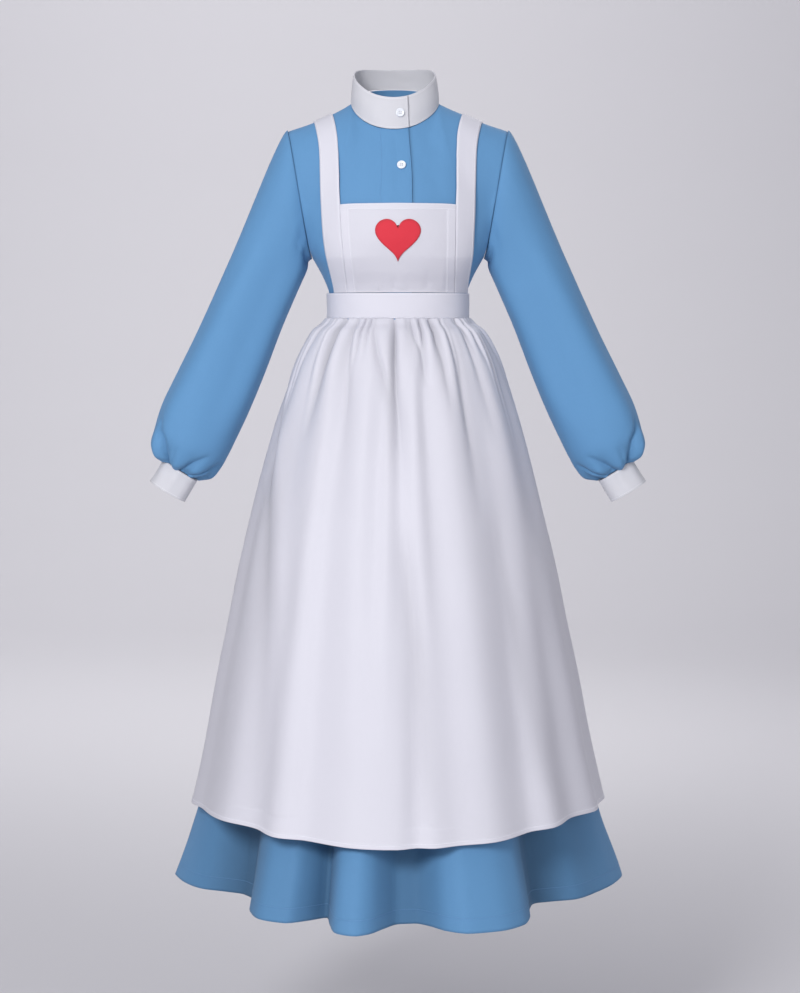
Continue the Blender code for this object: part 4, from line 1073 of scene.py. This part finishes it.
def apron_wall(angle, h):
    """The apron's skirt: h from 0 at the waistband to 1 at its hem."""
    z = apron_z(angle, h)
    row = along(APRON, z)
    fold = row[..., 4] * value(HIGH_FOLDS, angle) + row[..., 5] * value(LOW_FOLDS, angle)
    extra = gathers(angle, z) + creases(angle, z, APRON_CREASES)
    extra = extra + 0.9 * wander(angle * 4, z, 101, 7, 90, 300) * ease((-450 - z) / 200)
    return ring([r[:5] for r in APRON], angle, z, fold + extra * look().folds + 0.6 * apron_hem(h))


def apron_shade(angle, h):
    """Painted shade in the gathers and creases and on the wearer's right side, and lighter on the hem."""
    z = apron_z(angle, h)
    deep = 0.25 * np.clip(-gathers(angle, z) / 5, 0, 1)
    deep = deep + 0.02 * np.clip(-creases(angle, z, APRON_CREASES), 0, 8) - 0.05 * apron_hem(h)
    return deep + 0.09 * ease((-46 - angle) / 12) * ease((-440 - z) / 200)


def build_apron_skirt():
    cols, rows = 188, 160
    vs = steps(rows, 1.0, 0.0, 0.72)
    piece = cloth("apron_cloth", apron_wall, np.linspace(-APRON_HALF, APRON_HALF, cols + 1), vs, APRON_CLOTH,
                  (1.6, 0.85), white_cloth(), "apron_skirt", painted_shade=apron_shade,
                  fine=lambda row: row > rows - GATHER_ROWS)


# Buttons

BUTTON_THICK, HOLE_R, HOLE_OUT, HOLE_LONG = 2.6, 0.9, 2.1, 8
BUTTON_SECTION = (
    (0, 0), (5.4, 0), (6.8, 0.25), (7.3, 0.8), (7.3, 1.7), (7.1, 2.25), (6.6, 2.6), (5.6, 2.62), (5, 2.35),
    (4.5, 1.9), (3.9, 1.75), (0, 1.8))
BUTTON_STEPS, BUTTON_SHARP = 48, 40  # steps round it, and degrees from which an edge stays sharp
CROSS_R, CROSS_HIGH = 0.32, 0.55  # the threads crossed in the holes
UP = Vector((0, 0, 1))


def arch(bm, a, b):
    """A thread from one hole of a button to another, over its middle."""
    side = UP.cross(b - a).normalized()
    for v in bmesh.ops.create_grid(bm, x_segments=10, y_segments=8, size=0.5)["verts"]:
        s, turn = v.co.x + 0.5, 2 * math.pi * (v.co.y + 0.5)
        high = UP * (math.sin(math.pi * s) ** 0.6 * CROSS_HIGH - 0.5 + CROSS_R * math.sin(turn))
        v.co = a.lerp(b, s) + high + side * (CROSS_R * math.cos(turn))


def build_button(name, stands_for, place, normal):
    """A turned button with a sunk middle and four holes, and the threads crossed in them."""
    bm = bmesh.new()
    line = [bm.verts.new((x * MM, 0, z * MM)) for x, z in BUTTON_SECTION]
    edges = [bm.edges.new(pair) for pair in zip(line[:-1], line[1:])]
    bmesh.ops.spin(bm, geom=line + edges, cent=(0, 0, 0), axis=UP, angle=2 * math.pi, steps=BUTTON_STEPS,
                   use_merge=True)
    weld(bm)
    obj = shown(name, bm)
    holes = [Vector((HOLE_OUT * math.cos(a), HOLE_OUT * math.sin(a), 0))
             for a in (math.pi / 4 + i * math.pi / 2 for i in range(4))]
    bm = bmesh.new()
    for hole in holes:
        made = bmesh.ops.create_cone(bm, cap_ends=True, segments=16, radius1=HOLE_R * MM, radius2=HOLE_R * MM,
                                     depth=HOLE_LONG * MM)
        bmesh.ops.translate(bm, verts=made["verts"], vec=hole * MM)
    tool = shown("holes", bm)
    cut = obj.modifiers.new("holes", "BOOLEAN")
    cut.operation, cut.solver, cut.object = "DIFFERENCE", "EXACT", tool
    bpy.context.view_layer.update()
    solid = bpy.data.meshes.new_from_object(obj.evaluated_get(bpy.context.evaluated_depsgraph_get()))
    obj.modifiers.clear()
    obj.data = solid
    bpy.data.objects.remove(tool)
    solid.shade_smooth()
    solid.set_sharp_from_angle(angle=math.radians(BUTTON_SHARP))

    bm = bmesh.new()
    lift = UP * (BUTTON_THICK - 0.5)
    for a, b in ((0, 2), (1, 3)):
        arch(bm, holes[a] + lift, holes[b] + lift)
    for v in bm.verts:
        v.co *= MM
    weld(bm)
    threads = shown(name + "_thread", bm)

    z = unit(np.array(normal, float))
    x = unit(np.cross((0, 0, 1), z))
    y = np.cross(z, x)
    for mesh in (solid, threads.data):
        for v in mesh.vertices:
            v.co = place + x * v.co.x + y * v.co.y + z * v.co.z
    finished(obj, stands_for, button_finish())
    finished(threads, None, white_thread())


CHEST_X, CHEST_Z = 6.0, -112.0  # the place of the chest button
NECK_BUTTON, BAND_BUTTON = 368.0, 540.0  # degrees round the collar and the waistband


def build_buttons():
    v = (CHEST_Z - WAIST) / BODICE
    us, vs, points = LAID["right_front"]
    row = int(np.abs(vs - v).argmin())
    q = np.interp(CHEST_X, points[:, row, 0], us)
    for name, stands_for, piece, u, v, off in (
            ("chest_button", "button_chest", "right_front", q, v, DRESS_CLOTH + 0.75),
            ("neck_button", "button_collar", "stand_collar", NECK_BUTTON, 0.5, DOUBLE_CLOTH + 0.5),
            ("band_button", "apron_button", "waistband", BAND_BUTTON, 0.5, DOUBLE_CLOTH + 0.5)):
        at, normal = on_piece(piece, u, v, off)
        build_button(name, stands_for, at * MM, normal)


# Stitching

ON_TOP = 0.05  # height of a row of stitches over the cloth
FROM_EDGE = 1.5  # from the edge of a hem of the bib to its rows
DRESS_HEM = 22  # height of the turned hem of the dress


def build_stitching():
    on_dress, on_apron, on_trim = DRESS_CLOTH + ON_TOP, APRON_CLOTH + ON_TOP, DOUBLE_CLOTH + ON_TOP
    v = np.linspace(0, 0.995, 160)
    turn = np.linspace(-89.9, 89.9, 700)
    top = np.linspace(NECK_SHARE + 0.04, 0.985, 60)
    lines = [on_piece("right_front", q, v, on_dress) for q in (0.99, 0.83)]
    lines += [on_piece(f"skirt_{half}_cloth", turn + start, HEM + DRESS_HEM, on_dress)
              for half, start in (("front", 0), ("back", 180))]
    lines += [on_piece("back", side * top, 0.985, on_dress) for side in (-1, 1)]
    sew("dress_stitching", lines, thread_finish("blue_thread", (0.13, 0.29, 0.54)))

    around = np.linspace(COLLAR_FROM + 1, COLLAR_TO - 1, 500)
    turns = np.linspace(CUFF_FROM + 0.01, CUFF_TO - 0.012, 260)
    lines = [on_piece("stand_collar", around, h, on_trim) for h in (0.06, 0.94)]
    lines.append(on_piece("stand_collar", COLLAR_TO - 1.8, np.linspace(0.06, 0.94, 24), on_trim))
    lines += [on_piece(f"{side}_cuff", turns, h, on_trim) for side in ("left", "right") for h in (0.07, 0.93)]
    sew("trim_stitching", lines, white_thread())

    w = steps(500, STRAP_START + 0.003, 2 - STRAP_START - 0.003, 0.2)
    lines = [on_piece(f"{side}_strap", s, w, on_apron) for side in ("left", "right") for s in (-0.82, 0.82)]
    s = np.linspace(-0.995, 0.995, 160)
    hem = BIB_TOP - BIB_TOP_HEM + FROM_EDGE
    z = np.linspace(BAND_TOP + 2, hem, 90)
    inward = 1 - (BIB_SIDE_HEM - FROM_EDGE) / (sum(bib_edges(z)) / 2)
    lines += [on_piece("bib", s, high, on_apron) for high in (hem, BIB_TOP - FROM_EDGE)]
    lines += [on_piece("bib", side * inward, z, on_apron) for side in (-1, 1)]
    around = np.linspace(BAND_FROM + 1, BAND_TO - 1, 800)
    lines += [on_piece("waistband", around, h, on_trim) for h in (0.05, 0.95)]
    lines.append(on_piece("waistband", BAND_TO - 1.3, np.linspace(0.05, 0.95, 24), on_trim))
    around = np.linspace(-APRON_HALF + 0.4, APRON_HALF - 0.4, 1300)
    down = np.linspace(0.02, 0.985, 300)
    lines.append(on_piece("apron_cloth", around, 1 - (APRON_ROLL - 1.2) / APRON_LONG, on_apron))
    lines += [on_piece("apron_cloth", side * (APRON_HALF - 1.6), down, on_apron) for side in (-1, 1)]
    sew("apron_stitching", lines, thread_finish("apron_thread", (0.84, 0.84, 0.90)))

    sew("heart_stitching", [on_piece("heart_patch", np.linspace(1, 0, 260), 0.075, HEART_CLOTH + ON_TOP)],
        thread_finish("red_thread", (0.50, 0.03, 0.05)))


# Finishes


def look():
    return bpy.context.scene.dress_look


def nodes_of(name):
    """A new material, its node tree and its shader. If it was made before, the last two are None."""
    if name in bpy.data.materials:
        return bpy.data.materials[name], None, None
    stuff = bpy.data.materials.new(name)
    stuff.use_nodes = True
    return stuff, stuff.node_tree, stuff.node_tree.nodes["Principled BSDF"]


def fill(tree, made, **values):
    """Sets a node's properties and inputs, and links an output that is given for an input."""
    for key, value in values.items():
        if hasattr(made, key):
            setattr(made, key, value)
        elif isinstance(value, bpy.types.NodeSocket):
            tree.links.new(value, made.inputs[key.replace("_", " ")])
        else:
            made.inputs[key.replace("_", " ")].default_value = value
    return made


def node(tree, kind, **values):
    return fill(tree, tree.nodes.new("ShaderNode" + kind), **values)


def fabric(name, color, rough, sheen, weave, relief, uneven):
    """Woven cloth: threads on the piece's own UV map in metres, slubs along them, and painted shade and
    highlights from the piece's own attribute.

    weave is the threads' pitch in mm, relief the height of the cloth's grain and uneven the change of
    colour over the cloth.
    """
    stuff, tree, shader = nodes_of(name)
    if tree is None:
        return stuff
    uv = node(tree, "UVMap", uv_map="cloth").outputs[0]

    def calc(operation, a, b):
        made = node(tree, "Math", operation=operation)
        for socket, value in zip(made.inputs, (a, b)):
            if isinstance(value, bpy.types.NodeSocket):
                tree.links.new(value, socket)
            else:
                socket.default_value = value
        return made.outputs[0]

    def wave(turn):
        turned = node(tree, "Mapping", Rotation=(0, 0, turn), Vector=uv)
        # A wave texture has 20 / (2 pi) bands for each unit of its scale.
        return node(tree, "TexWave", wave_type="BANDS", bands_direction="X", Distortion=0.4, Detail=0,
                    Scale=2 * math.pi / (20 * weave * MM), Vector=turned.outputs[0]).outputs["Fac"]

    def slub(*stretch):
        squeezed = node(tree, "Mapping", Scale=stretch, Vector=uv)
        return node(tree, "TexNoise", Scale=1.0, Detail=3.0, Vector=squeezed.outputs[0]).outputs["Fac"]

    grain = calc("ADD", wave(0), wave(math.pi / 2))
    slubs = calc("ADD", slub(900, 45, 1), slub(45, 900, 1))
    height = calc("ADD", calc("MULTIPLY", grain, 0.35), calc("MULTIPLY", slubs, 0.65))
    raised = node(tree, "Bump", Strength=1.0, Distance=relief * MM, Height=height)
    place = node(tree, "TexCoord").outputs["Object"]
    cloud = node(tree, "TexNoise", Scale=7.0, Detail=2.0, Vector=place).outputs["Fac"]
    # Painted shade: the piece's attribute darkens the colour, and lightens it as a painted highlight where it
    # is below 0.
    painted_shade = node(tree, "Attribute", attribute_name="painted_shade").outputs["Fac"]
    bright = calc("ADD", 1.0, calc("MULTIPLY", calc("SUBTRACT", cloud, 0.5), uneven))
    bright = calc("ADD", bright, calc("MULTIPLY", calc("SUBTRACT", slubs, 1.0), uneven))
    bright = calc("MULTIPLY", bright, calc("SUBTRACT", 1.0, painted_shade))
    mixed = node(tree, "VectorMath", operation="SCALE", Vector=color, Scale=bright)
    fill(tree, shader, Base_Color=mixed.outputs[0], Normal=raised.outputs[0], Roughness=rough,
         Sheen_Weight=sheen, Sheen_Roughness=0.45, Sheen_Tint=(*[0.5 + 0.5 * c for c in color], 1),
         Specular_IOR_Level=0.3)
    return stuff


def blue_cloth():
    return fabric("dress_cloth_woven", look().dress_color, 0.72, look().sheen, 0.55, 0.10, 0.05)


def trim_cloth():
    return fabric("trim_cloth_woven", look().trim_color, 0.75, 0.08, 0.5, 0.08, 0.02)


def white_cloth():
    return fabric("apron_cloth_woven", look().apron_color, 0.55, 0.12, 0.45, 0.06, 0.02)


def red_cloth():
    return fabric("patch_cloth_woven", look().patch_color, 0.7, 0.10, 0.6, 0.10, 0.05)


def clouded(tree, color, dark, bright, **noise):
    """A colour that changes over a piece between two shares of itself."""
    cloud = node(tree, "TexNoise", Vector=node(tree, "TexCoord").outputs["Object"], **noise)
    return node(tree, "Mix", data_type="RGBA", Factor=cloud.outputs["Fac"],
                A=(*[dark * c for c in color], 1),
                B=(*[min(bright * c, 1) for c in color], 1)).outputs["Result"]


def thread_finish(name, color):
    """Spun thread: fine spots along it."""
    stuff, tree, shader = nodes_of(name)
    if tree:
        fill(tree, shader, Base_Color=clouded(tree, color, 0.85, 1.1, Scale=900), Roughness=0.6,
             Sheen_Weight=0.1)
    return stuff


def white_thread():
    return thread_finish("white_thread", (0.80, 0.80, 0.84))


def button_finish():
    """Pearly plastic: faint clouds under a clear gloss."""
    stuff, tree, shader = nodes_of("button_pearl")
    if tree:
        pearl = clouded(tree, look().button_color, 0.88, 1.06, Scale=420, Detail=3, Distortion=1.2)
        fill(tree, shader, Base_Color=pearl, Roughness=0.28, Coat_Weight=0.5, Coat_Roughness=0.12)
    return stuff


# Stage, in metres

FLOOR_Z, FLOOR_START, FLOOR_WIDE = -1.66, -12.0, 30
WALL_Y, WALL_HIGH, BEND = 8.0, 5.0, 2.6  # BEND is the radius between the floor and the wall
CAMERA, CAMERA_AIM, LENS = (0.0034, -4.0, -0.359), (0.0034, 0, -0.664), 85.3
# Name, place, aim, size, power in watts
LIGHTS = (("key", (-1.6, -3.6, 1.0), (0, 0, -0.7), 1.3, 124),
          ("fill", (2.4, -3.2, -0.2), (0, 0, -0.7), 2.6, 29),
          ("top", (0.2, 0.2, 3.2), (0, 0, -0.6), 2.4, 16),
          ("back", (1.4, 3.0, 1.2), (0, 0, -0.6), 2.0, 22),
          ("wall", (-0.9, 3.0, 2.9), (-0.2, 8.0, 0.0), 3.0, 178))
WORLD_COLOR, WORLD_LIGHT = (0.93, 0.93, 1.0, 1), 0.42


def aimed(name, data, place, aim):
    """Puts a light or the camera at its place, turned to its aim."""
    obj = bpy.data.objects.new(name, data)
    obj.location = place
    obj.rotation_euler = (Vector(aim) - Vector(place)).to_track_quat("-Z", "Y").to_euler()
    bpy.context.scene.collection.objects.link(obj)
    return obj


def build_stage():
    """A pale floor that bends up into the backdrop, soft lights and the camera."""
    bm = bmesh.new()
    bmesh.ops.create_grid(bm, x_segments=2, y_segments=48, size=0.5)
    flat, bend = WALL_Y - BEND, BEND * math.pi / 2
    for v in bm.verts:
        run = (v.co.y + 0.5) * (flat - FLOOR_START + bend + WALL_HIGH) + FLOOR_START
        turn = min(max(run - flat, 0) / BEND, math.pi / 2)
        up = max(run - flat - bend, 0)
        v.co = (v.co.x * FLOOR_WIDE, min(run, flat) + BEND * math.sin(turn),
                FLOOR_Z + BEND * (1 - math.cos(turn)) + up)
    for face in bm.faces:
        face.smooth = True
    floor = shown("floor", bm)
    stuff, tree, shader = nodes_of("floor_paper")
    fill(tree, shader, Base_Color=(*look().floor_color, 1), Roughness=0.9)
    floor.data.materials.append(stuff)

    scene = bpy.context.scene
    for name, place, aim, size, power in LIGHTS:
        data = bpy.data.lights.new(name, "AREA")
        data.shape, data.size, data.energy = "DISK", size, power * look().light
        aimed(name, data, place, aim)
    world = bpy.data.worlds.new("studio")
    world.use_nodes = True
    fill(world.node_tree, world.node_tree.nodes["Background"], Color=WORLD_COLOR, Strength=WORLD_LIGHT)
    scene.world = world
    scene.view_settings.view_transform = "Standard"

    data = bpy.data.cameras.new("camera")
    data.lens, data.sensor_width, data.sensor_height, data.sensor_fit = LENS, 36.0, 36.0, "AUTO"
    scene.camera = aimed("camera", data, CAMERA, CAMERA_AIM)


# The add-on


def color_of(name, what, default):
    return bpy.props.FloatVectorProperty(name=name, description=f"Colour of the {what}", subtype="COLOR",
                                         size=3, min=0, max=1, default=default)


def strength_of(name, description, default, high):
    return bpy.props.FloatProperty(name=name, description=description, subtype="FACTOR", default=default,
                                   min=0, max=high)


class DressLook(bpy.types.PropertyGroup):
    """Colours and strengths that a user may change before building the dress."""
    dress_color: color_of("Dress", "dress cloth", (0.106, 0.264, 0.482))
    trim_color: color_of("Collar and cuffs", "collar and cuffs", (0.575, 0.575, 0.615))
    apron_color: color_of("Apron", "apron cloth", (0.605, 0.60, 0.665))
    patch_color: color_of("Heart patch", "patch on the bib", (0.62, 0.030, 0.050))
    button_color: color_of("Buttons", "buttons", (0.78, 0.81, 0.88))
    floor_color: color_of("Floor", "floor and backdrop", (0.62, 0.61, 0.64))
    folds: strength_of("Folds", "Depth of the small folds, as a share of the real one's", 1.0, 1.5)
    sheen: strength_of("Sheen", "Soft sheen of the dress cloth", 0.12, 1)
    light: strength_of("Light", "Strength of the studio lights", 1.0, 3)


class Group:
    """What the operators of all groups of pieces have in common."""
    bl_options = {"REGISTER", "UNDO"}

    def execute(self, context):
        self.build()
        return {"FINISHED"}


class DRESS_OT_bodice(Group, bpy.types.Operator):
    """Builds the two fronts and the back"""
    bl_idname, bl_label, build = "dress.bodice", "Bodice", staticmethod(build_bodice)


class DRESS_OT_skirt(Group, bpy.types.Operator):
    """Builds the front and back of the dress skirt"""
    bl_idname, bl_label, build = "dress.skirt", "Dress skirt", staticmethod(build_skirt)


class DRESS_OT_sleeves(Group, bpy.types.Operator):
    """Builds the bishop sleeves"""
    bl_idname, bl_label, build = "dress.sleeves", "Sleeves", staticmethod(build_sleeves)


class DRESS_OT_trim(Group, bpy.types.Operator):
    """Builds the stand collar and the cuffs"""
    bl_idname, bl_label, build = "dress.trim", "Collar and cuffs", staticmethod(build_collar_and_cuffs)


class DRESS_OT_waistband(Group, bpy.types.Operator):
    """Builds the apron's waistband"""
    bl_idname, bl_label, build = "dress.waistband", "Waistband", staticmethod(build_waistband)


class DRESS_OT_bib(Group, bpy.types.Operator):
    """Builds the apron's bib and shoulder straps"""
    bl_idname, bl_label, build = "dress.bib", "Bib and straps", staticmethod(build_bib_and_straps)


class DRESS_OT_heart(Group, bpy.types.Operator):
    """Builds the patch on the bib"""
    bl_idname, bl_label, build = "dress.heart", "Heart patch", staticmethod(build_heart)


class DRESS_OT_apron(Group, bpy.types.Operator):
    """Builds the gathered skirt of the apron"""
    bl_idname, bl_label, build = "dress.apron", "Apron skirt", staticmethod(build_apron_skirt)


class DRESS_OT_buttons(Group, bpy.types.Operator):
    """Builds the buttons and their threads"""
    bl_idname, bl_label, build = "dress.buttons", "Buttons", staticmethod(build_buttons)


class DRESS_OT_stitching(Group, bpy.types.Operator):
    """Sews the rows of stitches"""
    bl_idname, bl_label, build = "dress.stitching", "Stitching", staticmethod(build_stitching)


class DRESS_OT_stage(Group, bpy.types.Operator):
    """Builds the floor, the lights and the camera"""
    bl_idname, bl_label, build = "dress.stage", "Stage", staticmethod(build_stage)


OPERATORS = (DRESS_OT_bodice, DRESS_OT_skirt, DRESS_OT_sleeves, DRESS_OT_trim,
             DRESS_OT_waistband, DRESS_OT_bib, DRESS_OT_heart, DRESS_OT_apron,
             DRESS_OT_buttons, DRESS_OT_stitching, DRESS_OT_stage)


class DRESS_PT_panel(bpy.types.Panel):
    """Lists the dress's pieces and their colours."""
    bl_idname = "DRESS_PT_panel"
    bl_label = "Nurse uniform dress"
    bl_space_type = "VIEW_3D"
    bl_region_type = "UI"
    bl_category = "Dress"

    def draw(self, context):
        for name in DressLook.__annotations__:
            self.layout.prop(context.scene.dress_look, name)
        for each in OPERATORS:
            self.layout.operator(each.bl_idname)


CLASSES = (DressLook, *OPERATORS, DRESS_PT_panel)


def register():
    for each in CLASSES:
        bpy.utils.register_class(each)
    bpy.types.Scene.dress_look = bpy.props.PointerProperty(type=DressLook)


def unregister():
    del bpy.types.Scene.dress_look
    for each in reversed(CLASSES):
        bpy.utils.unregister_class(each)


def main():
    register()
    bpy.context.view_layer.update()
    for each in OPERATORS:
        getattr(bpy.ops.dress, each.bl_idname.split(".")[1])()


if __name__ == "__main__":
    main()
